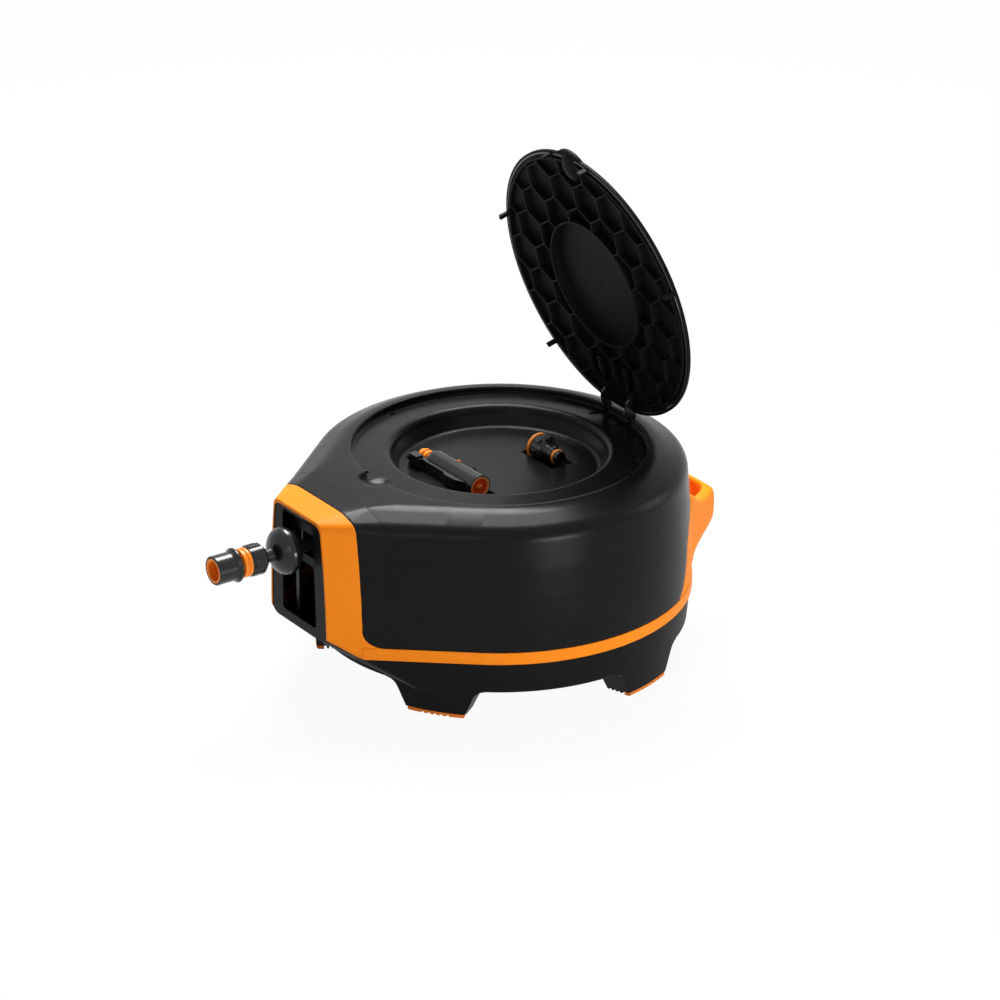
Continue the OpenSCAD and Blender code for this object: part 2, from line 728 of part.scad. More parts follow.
tab_r = 34;
tab_reach = 6;
dish_x = lid_r - 14;
dish_r = 26;
dish_z = lid_top_z + 20;
module lid() {
    steps = 7;
    under = [for (i = [0 : steps]) let (r = skirt_r - lid_t + (0 - skirt_r + lid_t) * i / steps)
        [r, dome_z(r) - lid_t]];
    color(black) opened_lid() difference() {
        union() {
            rotate_extrude() polygon(concat(
                [for (i = [0 : steps]) let (r = (lid_r - 1) * i / steps) [r, dome_z(r)]],
                [[lid_r, lid_top_z - 0.8], [lid_r, lid_flange_z - 1], [lid_r - 1.8, lid_flange_z - 1],
                    [lid_r - 2, lid_flange_z], [skirt_r, lid_flange_z], [skirt_r - 0.2, lid_flange_z - skirt_h],
                    [skirt_r - lid_t, lid_flange_z - skirt_h]], under));
            intersection() {
                translate([0, 0, rib_z]) linear_extrude(30) difference() {
                    hex_lattice();
                    for (s = [-1, 1]) translate([arm_x0, s * hinge_y - arm_t / 2]) square([lid_r, arm_t]);
                }
                rotate_extrude() polygon(concat([[0, 0], [skirt_r - lid_t, 0]],
                    [for (p = under) [p.x, p.y + 0.4]]));
            }
            // Finger tab with a dish pressed into it
            difference() {
                translate([tab_r - lid_r - tab_reach, 0, lid_flange_z - 0.4])
                    cylinder(r = tab_r, h = lid_top_z - lid_flange_z + 0.2);
                translate([0, 0, body_h - 30]) cylinder(r = lid_r - 1.2, h = 60);
            }
            intersection() {
                translate([-dish_x, 0, dish_z]) sphere(r = dish_r + lid_t);
                translate([0, 0, body_h - 20]) cylinder(r = lid_r + 1, h = lid_top_z - body_h + 21);
            }
            at_clips() translate([-clip_t / 2, -clip_w / 2, body_h - 12]) cube([clip_t, clip_w, 14]);
        }
        translate([-dish_x, 0, dish_z]) sphere(r = dish_r);
        // Notches that let the hinge arms through the rim
        for (s = [-1, 1]) translate([skirt_r - 14, s * hinge_y - arm_t / 2, body_h - 20])
            cube([30, arm_t, lid_flange_z - body_h + 20]);
    }
}

arm_x0 = hinge_x - 65;
skirt_x = sqrt(pow(skirt_r - lid_t, 2) - pow(hinge_y + arm_t / 2, 2)) - 0.3;
module lid_hinge_arms() {
    color(gloss) opened_lid() for (s = [-1, 1])
        translate([0, s * hinge_y + arm_t / 2, 0]) rotate([90, 0, 0]) linear_extrude(arm_t)
            difference() {
                union() {
                    polygon([[hinge_x - 3, hinge_z + 2.5], [hinge_x - 4.5, lid_flange_z - 0.1],
                        [skirt_x, lid_flange_z - 0.1], [skirt_x, dome_z(skirt_r) - lid_t - 0.3],
                        [hinge_x - 45, dome_z(hinge_x - 45) - lid_t - 0.4],
                        [arm_x0, dome_z(arm_x0) - lid_t - 0.4],
                        [arm_x0, rib_z], [hinge_x - 35, rib_z + 0.3], [hinge_x - 25, rib_z],
                        [hinge_x - 22, rib_z - 5], [hinge_x - 16, hinge_z - 7.5], [hinge_x - 8, hinge_z - 7],
                        [hinge_x - 2, hinge_z - 3.3]]);
                    translate([hinge_x, hinge_z]) circle(r = eye_r);
                }
                translate([hinge_x, hinge_z]) circle(r = pin_r + run_gap);
            }
}

module hinge_pins() {
    color(steel) at_hinges() cylinder(r = pin_r, h = pin_len, center = true);
}

// Drum and its bearings
hub_r = axle_r + bush_t + 4;
hub_len = 24;
module tube(r0, r1, z0, z1) {
    translate([0, 0, z0]) difference() {
        cylinder(r = r1, h = z1 - z0);
        translate([0, 0, -1]) cylinder(r = r0, h = z1 - z0 + 2);
    }
}

bore_r = axle_r - 5;
pipe_r = 7;
pipe_z = floor_top + pipe_r + 2;
inlet_angle = 36;
seal_t = 2.6;
seal_z = [flange_top + 0.8, flange_top + 5];
axle_top_z = flange_top + 9;
module axle() {
    color(grey) difference() {
        union() {
            tube(bore_r, axle_r, floor_under, axle_top_z);
            translate([0, 0, floor_under]) cylinder(r = axle_r, h = shell_t);
        }
        for (z = seal_z) tube(axle_r - 2, axle_r + 1, z, z + seal_t + 0.2);
        rotate([0, 0, inlet_angle]) translate([bore_r - 4, 0, pipe_z]) rotate([0, 90, 0])
            cylinder(r = pipe_r - 2, h = 10);
    }
}

// Arbor that holds the mainspring's inner end
arbor_r = axle_r + 9;
module spring_arbor() {
    color(steel) tube(axle_r, arbor_r, case_bottom + 1, case_top - 1);
}

module bush(z0, flange_up) {
    color(white) {
        tube(axle_r + run_gap, axle_r + bush_t, z0, z0 + hub_len);
        if (flange_up) tube(axle_r + run_gap, axle_r + bush_t + 3, z0 + hub_len, z0 + hub_len + 1);
        else tube(axle_r + run_gap, axle_r + bush_t + 3, z0 - 1, z0);
    }
}
module lower_bush() {
    bush(wind_bottom - flange_t, true);
}
module upper_bush() {
    bush(flange_top - hub_len, false);
}

feed_x = hub_r + 9;
feed_r = 5;
feed_z = wind_top - 40;
module drum_core() {
    color(black) difference() {
        rotate_extrude() polygon([[axle_r + bush_t, case_top], [flange_r, case_top], [flange_r, wind_bottom - 1], [flange_r - 1, wind_bottom],
            [core_r, wind_bottom], [core_r, wind_top], [core_r - 3, wind_top],
            [core_r - 3, wind_bottom], [hub_r, wind_bottom], [hub_r, case_top + hub_len],
            [axle_r + bush_t, case_top + hub_len]]);
        translate([feed_x, 0, feed_z]) rotate([0, 90, 0]) cylinder(r = feed_r, h = core_r);
    }
}

module spring_case() {
    color(black) tube(case_r - shell_t, case_r, case_bottom, case_top);
}

window_r = 25;
module upper_flange() {
    color(black) difference() {
        rotate_extrude() polygon([[axle_r + bush_t, flange_top], [axle_r + bush_t, flange_top - hub_len],
            [hub_r, flange_top - hub_len], [hub_r, wind_top], [flange_r - 1, wind_top],
            [flange_r, wind_top + 1], [flange_r, flange_top]]);
        for (i = [0 : 7]) rotate([0, 0, i * 45]) translate([core_r + window_r + 14, 0, wind_top - 1])
            cylinder(r = window_r, h = flange_t + 2);
        translate([feed_x, 0, wind_top - 1]) cylinder(r = feed_r, h = flange_t + 2);
    }
}

// Straight-sided tooth outline of a spur gear, one tooth on +X
module gear_outline(teeth, slack) {
    pitch_r = gear_m * teeth / 2;
    half = gear_m * PI / 4 - slack;
    root = pitch_r - 1.25 * gear_m;
    tip = pitch_r + 0.9 * gear_m;
    slope = tan(20);
    at_root = (half + slope * (pitch_r - root)) / root * 180 / PI;
    at_tip = (half - slope * (tip - pitch_r)) / tip * 180 / PI;
    polygon([for (i = [0 : teeth - 1], k = [-1, 0, 1, 2]) let (
        r = (k == 0 || k == 1) ? tip : root,
        a = i * 360 / teeth + (k == -1 ? -at_root : k == 0 ? -at_tip : k == 1 ? at_tip : at_root))
        [r * cos(a), r * sin(a)]]);
}

gear_slack = 0.35;
mesh_angle = 180 + atan2(screw_y, screw_x);
module ring_gear() {
    color(white) translate([0, 0, gear_z]) difference() {
        rotate([0, 0, mesh_angle]) linear_extrude(gear_w) gear_outline(ring_teeth, gear_slack);
        translate([0, 0, -1]) cylinder(r = case_r, h = gear_w + 2);
    }
}

module screw_gear() {
    color(white) at_screw() translate([0, 0, gear_z]) difference() {
        rotate([0, 0, mesh_angle - 180 + 180 / screw_teeth]) linear_extrude(gear_w)
            gear_outline(screw_teeth, gear_slack);
        translate([0, 0, -1]) cylinder(r = screw_r, h = gear_w + 2);
    }
}

screw_foot = bearing_z + 4;
module winding_screw() {
    color(steel) at_screw() translate([0, 0, screw_foot]) cylinder(r = screw_r, h = screw_top - screw_foot);
}

module screw_bearing() {
    color(white) at_screw() difference() {
        translate([0, 0, bearing_z]) cylinder(r = screw_r + 4, h = (gear_z - bearing_z) / 2);
        translate([0, 0, screw_foot - free_gap]) cylinder(r = screw_r + run_gap, h = 30);
    }
}

module spring_case_cover() {
    color(black) difference() {
        translate([0, 0, case_bottom - 2]) cylinder(r = case_r, h = 2);
        translate([0, 0, case_bottom - 3]) cylinder(r = axle_r + free_gap, h = 4);
    }
}

module mainspring() {
    r0 = arbor_r + free_gap + spring_t;
    r1 = case_r - shell_t - spring_t / 2;
    steps = 24 * spring_turns;
    function spiral(i, side) = let (r = r0 + (r1 - r0) * i / steps + side * spring_t / 2, a = i * 15)
        [r * cos(a), r * sin(a)];
    color(steel) translate([0, 0, case_bottom + 2]) linear_extrude(case_h - 4)
        polygon(concat([for (i = [0 : steps]) spiral(i, 1)], [for (i = [steps : -1 : 0]) spiral(i, -1)]));
}

// Ratchet round the spring case and its pawl on the base
ratchet_teeth = 36;
ratchet_tip = case_r + 12;
ratchet_root = ratchet_tip - 5;
ratchet_h = 8;
ratchet_z = gear_z - 4 - ratchet_h;
pawl_angle = 90;
pawl_reach = 13;
module ratchet_ring() {
    step = 360 / ratchet_teeth;
    color(white) translate([0, 0, ratchet_z]) difference() {
        rotate([0, 0, pawl_angle + pawl_reach + 2]) linear_extrude(ratchet_h)
            polygon([for (i = [0 : ratchet_teeth - 1], k = [0, 1]) let (
                r = k == 0 ? ratchet_root : ratchet_tip, a = i * step + k * 0.01)
                [r * cos(a), r * sin(a)]]);
        translate([0, 0, -1]) cylinder(r = case_r, h = ratchet_h + 2);
    }
}

pawl_x = ratchet_tip + 17;
pawl_pin_r = 3;
module at_pawl() {
    rotate([0, 0, pawl_angle]) children();
}
module pawl() {
    tip_r = ratchet_tip + 1;
    tip = [tip_r * cos(pawl_reach), tip_r * sin(pawl_reach)];
    back = [(tip_r + 7) * cos(pawl_reach - 2), (tip_r + 7) * sin(pawl_reach - 2)];
    color(steel) at_pawl() translate([0, 0, ratchet_z + 1]) difference() {
        union() {
            translate([pawl_x, 0, 0]) cylinder(r = 6, h = ratchet_h - 2);
            linear_extrude(ratchet_h - 2) polygon([[pawl_x + 4, 0], back, tip, [pawl_x - 4, 0]]);
        }
        translate([pawl_x, 0, -1]) cylinder(r = pawl_pin_r + run_gap, h = ratchet_h);
    }
}
module pawl_pin() {
    color(steel) at_pawl() translate([pawl_x, 0, floor_top]) {
        cylinder(r = pawl_pin_r, h = ratchet_z + ratchet_h + 1 - floor_top);
        cylinder(r = 5, h = ratchet_z + 1 - free_gap - floor_top);
    }
}

cap_r = axle_r + 7;
module swivel_cap() {
    color(grey) rotate_extrude() polygon([[axle_r + 0.9, flange_top], [cap_r, flange_top],
        [cap_r, axle_top_z + 2], [cap_r - 2, axle_top_z + 3], [0, axle_top_z + 3], [0, axle_top_z + 1],
        [axle_r + 0.9, axle_top_z + 1]]);
}

module swivel_seals() {
    color(black) for (z = seal_z) translate([0, 0, z + 0.1 + seal_t / 2]) rotate_extrude()
        translate([axle_r - 2 + seal_t / 2, 0]) circle(r = seal_t / 2, $fn = 32);
}

// Water way from the swivel to the hose's inner end
feed_top = flange_top + feed_r + 0.5;
module feed_pipe() {
    color(grey) difference() {
        union() {
            translate([cap_r - 3, 0, feed_top]) rotate([0, 90, 0]) cylinder(r = feed_r, h = feed_x - cap_r + 3);
            translate([feed_x, 0, feed_top]) sphere(r = feed_r);
            translate([feed_x, 0, feed_z]) cylinder(r = feed_r, h = feed_top - feed_z);
            translate([feed_x, 0, feed_z]) sphere(r = feed_r);
            translate([feed_x, 0, feed_z]) rotate([0, 90, 0]) cylinder(r = feed_r, h = core_r - feed_x);
        }
        cylinder(r = cap_r, h = body_h);
        translate([0, 0, feed_top]) rotate([0, 90, 0]) cylinder(r = feed_r - 1.5, h = feed_x);
        translate([feed_x, 0, feed_z]) cylinder(r = feed_r - 1.5, h = feed_top - feed_z);
        translate([feed_x, 0, feed_z]) rotate([0, 90, 0]) cylinder(r = feed_r - 1.5, h = core_r);
    }
}

// Water inlet low at the back, between two feet
inlet_x = base_r(pipe_z) - 19.84;
inlet_r = 8;
inlet_neck = 23;
inlet_len = 19;
module at_inlet(x) {
    rotate([0, 0, inlet_angle]) translate([x, 0, pipe_z]) rotate([0, 90, 0]) children();
}
module inlet_pipe() {
    color(grey) difference() {
        at_inlet(axle_r - 4) cylinder(r = pipe_r, h = inlet_x - axle_r + 4);
        at_inlet(0) cylinder(r = pipe_r - 2, h = inlet_x + 1);
        cylinder(r = axle_r, h = 3 * pipe_z);
    }
}
module inlet_nipple() {
    neck = inlet_neck;
    tip = neck + inlet_len;
    color(gloss) at_inlet(inlet_x) rotate_extrude() polygon([[pipe_r - 2, 0], [inlet_r + 1, 0],
        [inlet_r + 1, neck - 2], [inlet_r + 4, neck - 2], [inlet_r + 4, neck], [inlet_r, neck],
        [inlet_r, neck + 5], [inlet_r - 1.2, neck + 6], [inlet_r - 1.2, neck + 8.6], [inlet_r, neck + 10],
        [inlet_r, tip - 1], [inlet_r - 1, tip], [pipe_r - 2, tip]]);
}
module inlet_seal() {
    color(orange) at_inlet(inlet_x + inlet_neck + 7.3) rotate_extrude()
        translate([inlet_r - 0.1, 0]) circle(r = 1.1, $fn = 32);
}

// Hose
hose_r = hose_d / 2;
module hose_inner_layers() {
    color(black) tube(core_r, layer_r * cos(180 / rings_per_turn) - hose_r - free_gap,
        wind_bottom + free_gap, wind_top - free_gap);
}

// Tube of round section along a list of points, closed at both ends
function unit(v) = v / norm(v);
function heading(p, i) = unit(p[min(i + 1, len(p) - 1)] - p[max(i - 1, 0)]);
module sweep_tube(p, r, sides) {
    rings = len(p);
    corners = [for (i = [0 : rings - 1], k = [0 : sides - 1]) let (
        t = heading(p, i), side = unit(cross(t, [0, 0, 1])), up = cross(side, t), a = 360 * k / sides)
        p[i] + r * (cos(a) * side + sin(a) * up)];
    walls = [for (i = [0 : rings - 2], k = [0 : sides - 1]) let (
        a = i * sides + k, b = i * sides + (k + 1) % sides) each [[a, b, b + sides], [a, b + sides, a + sides]]];
    last = (rings - 1) * sides;
    ends = [for (k = [1 : sides - 2]) each [[0, k + 1, k], [last, last + k, last + k + 1]]];
    polyhedron(points = corners, faces = [for (f = concat(walls, ends)) [f[2], f[1], f[0]]]);
}

// Angle at which the hose leaves the drum for the outlet
lead_x = rod_x + 2;
lead_turn = asin((land_r + hose_bend) / norm([lead_x, hose_bend])) - atan(hose_bend / lead_x);
land_angle = 90 + lead_turn;
rings_per_turn = 24;
wind_start = land_angle - 40;
// The layer winds downwards, clockwise seen from above
wind_points = [for (i = [0 : rings_per_turn * hose_turns]) let (a = wind_start - i * 360 / rings_per_turn)
    [layer_r * cos(a), layer_r * sin(a), hose_z - i * hose_pitch / rings_per_turn]];
wind_gap = min([for (i = [0 : len(wind_points) - 1 - rings_per_turn])
    norm(wind_points[i] - wind_points[i + rings_per_turn])]) - hose_d;
echo(least_gap_of_the_winding_to_itself = wind_gap);
module hose_outer_layer() {
    color(orange) sweep_tube(wind_points, hose_r, 6);
}

land_wrap = 24;
nut_x1 = nose_x + 42.5;
lead_points = concat(
    [for (x = [nut_x1 : -10 : lead_x + 8]) [-x, 0, hose_z]],
    [for (i = [0 : 8]) let (a = lead_turn * i / 8)
        [-lead_x + hose_bend * sin(a), hose_bend * (1 - cos(a)), hose_z]],
    [for (i = [1 : 2]) let (
        from = [-lead_x + hose_bend * sin(lead_turn), hose_bend * (1 - cos(lead_turn)), hose_z],
        to = [land_r * cos(land_angle), land_r * sin(land_angle), hose_z]) from + (to - from) * i / 3],
    [for (i = [0 : 3]) let (a = land_angle - land_wrap * i / 3) [land_r * cos(a), land_r * sin(a), hose_z]]);
module hose_lead() {
    color(orange) sweep_tube(lead_points, hose_r, 12);
}

// Traveller that lays the hose on the drum, with its two rods
module guide_rods() {
    color(steel) at_rods() translate([0, 0, rod_z0]) cylinder(r = rod_r, h = rod_z1 - rod_z0);
}

roller_r = 6.5;
window_h = 26;
traveller_t = 16;
traveller_half = rod_y + 6.5;
arm_len = rod_x - screw_x;
module at_rollers() {
    for (s = [-1, 1]) translate([-rod_x, s * (hose_r + 0.4 + roller_r), hose_z]) children();
}
module traveller() {
    rib = 1.6;
    color(gloss) difference() {
        union() {
            difference() {
                translate([-rod_x - traveller_t / 2, -traveller_half, hose_z - traveller_h / 2])
                    cube([traveller_t, 2 * traveller_half, traveller_h]);
                translate([-rod_x - traveller_t, -rod_y + 9, hose_z - window_h / 2])
                    cube([2 * traveller_t, 2 * rod_y - 18, window_h]);
            }
            for (s = [-1, 1], i = [0 : 4])
                translate([-rod_x - traveller_t / 2 - rib, s * 24 - 5, hose_z - 20 + i * 9 - rib / 2])
                    cube([rib + 1, 10, rib]);
            translate([-rod_x + traveller_t / 2 - 1, -screw_y - 6, hose_z - 9])
                cube([arm_len - 4, 13, 18]);
            translate([-screw_x, -screw_y, hose_z - 9]) cylinder(r = screw_r + 4.5, h = 18);
        }
        at_rods() translate([0, 0, hose_z - traveller_h]) cylinder(r = rod_r + run_gap, h = 2 * traveller_h);
        at_screw() translate([0, 0, hose_z - 20]) cylinder(r = screw_r + run_gap, h = 40);
        at_rollers() cylinder(r = pin_r, h = window_h + 8, center = true);
    }
}
module roller(side) {
    color(white) translate([-rod_x, side * (hose_r + 0.4 + roller_r), hose_z]) difference() {
        cylinder(r = roller_r, h = window_h - 1, center = true);
        cylinder(r = pin_r + run_gap, h = window_h, center = true);
    }
}
module left_roller() {
    roller(1);
}
module right_roller() {
    roller(-1);
}
module roller_pins() {
    color(steel) at_rollers() cylinder(r = pin_r, h = window_h + 8, center = true);
}

// Ball and coupling on the hose's end, profiles as [distance from the axis, distance from the drum]
module on_hose(points) {
    translate([0, 0, hose_z]) rotate([0, -90, 0]) rotate_extrude() polygon(points);
}
grip_r = hose_r + 0.1;
ball_x = nose_x + 16.5;
module stop_ball() {
    steps = 16;
    a0 = asin(2 * grip_r / ball_d);
    color(gloss) on_hose([for (i = [0 : steps]) let (a = a0 + (180 - 2 * a0) * i / steps)
        [ball_d / 2 * sin(a), ball_x - ball_len / 2 * cos(a)]]);
}

nut_x2 = nut_x1 + 20.5;
nut_r = 16.7;
body_x = nut_x1 + 61;
ring_x = nut_x1 + 30;
sleeve_x = ring_x + 3;
sleeve_r = 15.7;
socket_r = 10.8;
module coupling_nut() {
    ridge = 0.9;
    color(gloss) {
        difference() {
            union() {
                on_hose([[0, nut_x1], [nut_r - 5, nut_x1], [nut_r - ridge, nut_x1 + 4],
                    [nut_r - ridge, nut_x2 - 1], [nut_r - ridge - 1, nut_x2], [0, nut_x2]]);
                for (i = [0 : 7]) translate([0, 0, hose_z]) rotate([i * 45, 0, 0])
                    translate([-nut_x2 + 2, -3.4, 0]) cube([nut_x2 - nut_x1 - 7, 6.8, nut_r]);
            }
            on_hose([[0, nut_x1 - 1], [grip_r, nut_x1 - 1], [grip_r, nut_x1], [6, nut_x1 + 0.1],
                [6, nut_x2 + 1], [0, nut_x2 + 1]]);
        }
    }
}
module coupling_body() {
    core = 12.6;
    color(orange) on_hose([[6, nut_x2], [15, nut_x2], [15.6, nut_x2 + 1], [15.6, nut_x2 + 3.4],
        [14.4, nut_x2 + 4.4], [14.4, nut_x2 + 5.6], [15.6, nut_x2 + 6.6], [15.6, ring_x - 0.5],
        [15, ring_x], [core, ring_x], [core, body_x - 2], [core + 0.8, body_x - 1.4], [core + 0.6, body_x],
        [socket_r + 0.6, body_x], [socket_r, body_x - 1], [socket_r, body_x - 22], [6, body_x - 23]]);
}
module coupling_sleeve() {
    core = 12.6 + run_gap;
    color(gloss) on_hose([[core, sleeve_x], [16.6, sleeve_x], [18.4, sleeve_x + 1.6], [18.4, sleeve_x + 3],
        [16.8, sleeve_x + 5], [sleeve_r, sleeve_x + 8], [sleeve_r, body_x - 0.8], [sleeve_r - 0.8, body_x],
        [core + 1.4, body_x], [core + 1.4, body_x - 4], [core, body_x - 5]]);
}

// Spray nozzle and tap connector in the bowl, profiles as [distance from the axis, place along Y]
module on_y(x, points) {
    translate([x, 0, tool_z]) rotate([-90, 0, 0]) rotate_extrude() polygon(points);
}
neck_y = nozzle_y1 - 20;
lever_z0 = -5.8;
lever_z1 = 6;
lever_in = 10;
lever_travel = 2;
module nozzle_body() {
    rim = nozzle_y0 + 3;
    color(gloss) difference() {
        union() {
            on_y(nozzle_x, [[0, rim], [nozzle_r - 1.4, rim], [nozzle_r - 1.4, nozzle_y0],
                [nozzle_r - 0.6, nozzle_y0], [nozzle_r, nozzle_y0 + 0.8], [nozzle_r, neck_y - 9],
                [nozzle_r - 0.8, neck_y - 5], [nozzle_r - 3, neck_y - 2], [nozzle_r - 5.5, neck_y], [0, neck_y]]);
            // Push button on the side away from the lever
            translate([nozzle_x, nozzle_y0 + 31, tool_z]) rotate([0, 60, 0]) cylinder(r = 4, h = nozzle_r + 2.4);
        }
        // Slot in which the lever goes in
        translate([nozzle_x - nozzle_r - 1, nozzle_y0 + 9, tool_z + lever_z0 - 0.5])
            cube([nozzle_r + 1 - lever_in + lever_travel + 0.5, far, lever_z1 - lever_z0 + 1]);
        // Seat of the coloured mark on top
        translate([nozzle_x, nozzle_y0 + 47, tool_z]) rotate([0, 20, 0]) translate([0, 0, nozzle_r - 1])
            cylinder(r = 2.2, h = 5);
    }
}
module nozzle_face() {
    color(orange) {
        on_y(nozzle_x, [[0, nozzle_y0 - 0.6], [1.3, nozzle_y0 - 0.6], [2.6, nozzle_y0 + 0.4],
            [3, nozzle_y0 + 1.9], [nozzle_r - 3.6, nozzle_y0 + 1.9], [nozzle_r - 3.2, nozzle_y0 - 0.3],
            [nozzle_r - 1.8, nozzle_y0 - 0.3], [nozzle_r - 1.4, nozzle_y0 + 0.3], [nozzle_r - 1.4, nozzle_y0 + 3],
            [0, nozzle_y0 + 3]]);
        translate([nozzle_x, nozzle_y0 + 47, tool_z]) rotate([0, 20, 0]) translate([0, 0, nozzle_r - 1])
            cylinder(r = 2.2, h = 1.6);
    }
}
// Lever along the nozzle's side, with a forked end behind the body
module nozzle_trigger() {
    fork_y = neck_y + 1.5;
    color(gloss) translate([nozzle_x, 0, tool_z]) difference() {
        union() {
            translate([0, 0, lever_z0]) linear_extrude(lever_z1 - lever_z0) polygon([
                [-lever_in, nozzle_y0 + 10], [-13, nozzle_y0 + 10], [-18.6, nozzle_y0 + 22],
                [-19.4, nozzle_y0 + 40], [-16.2, nozzle_y0 + 46], [-16, neck_y - 4], [-20.5, neck_y - 1],
                [-21.5, fork_y + 13], [-18, fork_y + 16], [-lever_in - 1, fork_y + 16], [-lever_in - 1, fork_y],
                [-lever_in, fork_y - 2]]);
            translate([-21, fork_y - 1, lever_z1 - 0.5]) cube([9.2, 14, 3]);
            translate([-15.8, fork_y + 15, 0]) rotate([-90, 0, 0]) cylinder(r = 3.2, h = 5);
        }
        translate([-23, fork_y + 6, -1.5]) cube([8, 12, 4]);
    }
}
module nozzle_neck() {
    color(orange) on_y(nozzle_x, [[0, neck_y], [6.6, neck_y], [6.6, neck_y + 4], [8, neck_y + 4.6],
        [8, neck_y + 8], [6.8, neck_y + 8.6], [6.8, neck_y + 11], [8.2, neck_y + 11.6], [8.2, neck_y + 14],
        [6.4, neck_y + 14.8], [6.4, nozzle_y1 - 1], [5.6, nozzle_y1], [0, nozzle_y1]]);
}
// Tap connector: lugged collar with a coloured ring behind it and a stepped nose
tap_seat = tap_r - 2.8;
tap_nose = tap_y1 - 24;
module tap_collar() {
    color(gloss) difference() {
        union() {
            on_y(tap_x, [[0, tap_nose], [9, tap_nose], [12.2, tap_nose + 2.6], [tap_r - 1.6, tap_nose + 4.4],
                [tap_r - 1.2, tap_nose + 16], [tap_r - 1.6, tap_y1 - 7], [tap_seat, tap_y1 - 7],
                [tap_seat, tap_y1 - 3], [tap_r - 1.8, tap_y1 - 3], [tap_r - 1.4, tap_y1 - 1.4],
                [tap_r - 2.4, tap_y1], [0, tap_y1]]);
            for (i = [0 : 5]) translate([tap_x, 0, tool_z]) rotate([0, 30 + i * 60, 0])
                translate([-3.4, tap_nose + 5.5, 0]) cube([6.8, 9.4, tap_r + 0.4]);
        }
        on_y(tap_x, [[0, tap_y1 - 15], [11, tap_y1 - 15], [11, tap_y1 + 1], [0, tap_y1 + 1]]);
        on_y(tap_x, [[0, tap_nose - 1], [5, tap_nose - 1], [5, tap_y1 - 14], [0, tap_y1 - 14]]);
    }
}
module tap_ring() {
    color(orange) {
        on_y(tap_x, [[tap_seat, tap_y1 - 7], [tap_r - 0.4, tap_y1 - 7], [tap_r, tap_y1 - 6.4],
            [tap_r, tap_y1 - 3.6], [tap_r - 0.4, tap_y1 - 3], [tap_seat, tap_y1 - 3]]);
        on_y(tap_x, [[6.4, tap_y0 + 5], [7.9, tap_y0 + 5], [8.2, tap_y0 + 5.6], [8.2, tap_y0 + 7.6],
            [7.9, tap_y0 + 8.2], [6.4, tap_y0 + 8.2]]);
    }
}
module tap_nipple() {
    color(gloss) on_y(tap_x, [[5, tap_nose], [9.2, tap_nose], [9.2, tap_nose - 4], [8.2, tap_nose - 4.6],
        [8.2, tap_y0 + 12], [7.4, tap_y0 + 11], [7.4, tap_y0 + 9.2], [8, tap_y0 + 8.2], [6.4, tap_y0 + 8.2],
        [6.4, tap_y0 + 5], [7.6, tap_y0 + 5], [7.6, tap_y0 + 1.2], [6.8, tap_y0], [5, tap_y0]]);
}

// Parts
top_housing();
outlet_surround();
outlet_frame();
belt_band();
rear_handle();
base_housing();
foot_pads();
lid();
lid_hinge_arms();
hinge_pins();
axle();
spring_arbor();
lower_bush();
upper_bush();
drum_core();
spring_case();
upper_flange();
ring_gear();
spring_case_cover();
mainspring();
ratchet_ring();
pawl();
pawl_pin();
swivel_cap();
swivel_seals();
feed_pipe();
inlet_pipe();
inlet_nipple();
inlet_seal();
hose_inner_layers();
hose_outer_layer();
hose_lead();
guide_rods();
winding_screw();
screw_gear();
screw_bearing();
traveller();
left_roller();
right_roller();
roller_pins();
stop_ball();
coupling_nut();
coupling_body();
coupling_sleeve();
nozzle_body();
nozzle_face();
nozzle_trigger();
nozzle_neck();
tap_collar();
tap_ring();
tap_nipple();
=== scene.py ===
# Retractable garden hose reel: materials, fine pieces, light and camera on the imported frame.
import math

import bmesh
import bpy
from mathutils import Matrix, Vector


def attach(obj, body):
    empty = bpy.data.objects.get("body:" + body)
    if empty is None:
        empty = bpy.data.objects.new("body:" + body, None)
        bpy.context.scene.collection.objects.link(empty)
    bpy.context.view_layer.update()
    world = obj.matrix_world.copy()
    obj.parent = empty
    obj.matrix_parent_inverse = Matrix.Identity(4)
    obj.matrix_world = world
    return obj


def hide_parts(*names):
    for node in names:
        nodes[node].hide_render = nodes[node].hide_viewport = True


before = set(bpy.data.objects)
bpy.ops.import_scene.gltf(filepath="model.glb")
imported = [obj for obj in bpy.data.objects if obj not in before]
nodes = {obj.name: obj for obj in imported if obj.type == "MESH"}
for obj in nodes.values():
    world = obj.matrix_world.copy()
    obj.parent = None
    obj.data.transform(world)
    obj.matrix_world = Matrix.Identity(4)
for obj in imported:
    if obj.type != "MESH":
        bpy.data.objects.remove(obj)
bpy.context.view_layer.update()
scene = bpy.context.scene
scene.view_settings.view_transform = "Standard"

# Body sizes of the source that the fine pieces repeat, in metres and degrees
BODY_R = 0.210
BODY_H = 0.2305
NOSE_X = 0.2585
NOSE_HALF = 0.055
BELT_Z = 0.069
BELT_H = 0.014
SIDE_Z0 = BELT_Z + BELT_H
SIDE_TOP_Z = BODY_H - 0.024
SIDE_DRAFT = 0.0066
SIDE_FOOT = BODY_R - 0.0005
SIDE_LEAN = 6
SHOULDER = 24
EDGE_R = 0.017
CREST_R = 0.034
BASE_TOP_R = BODY_R - 0.002
FOOT_R = BODY_R - 0.008
ARCH_H = 0.0345
PAD_H = 0.005
RECESS_R = BODY_R - 0.050
CREST_X = RECESS_R + 0.003
LID_R = RECESS_R - 0.002
LID_OPEN = 76
HINGE_X = RECESS_R + 0.003
HINGE_Z = BODY_H - 0.003
NOSE_ANGLE = math.asin(SIDE_FOOT / math.hypot(NOSE_X, NOSE_HALF)) - math.atan(NOSE_HALF / NOSE_X)

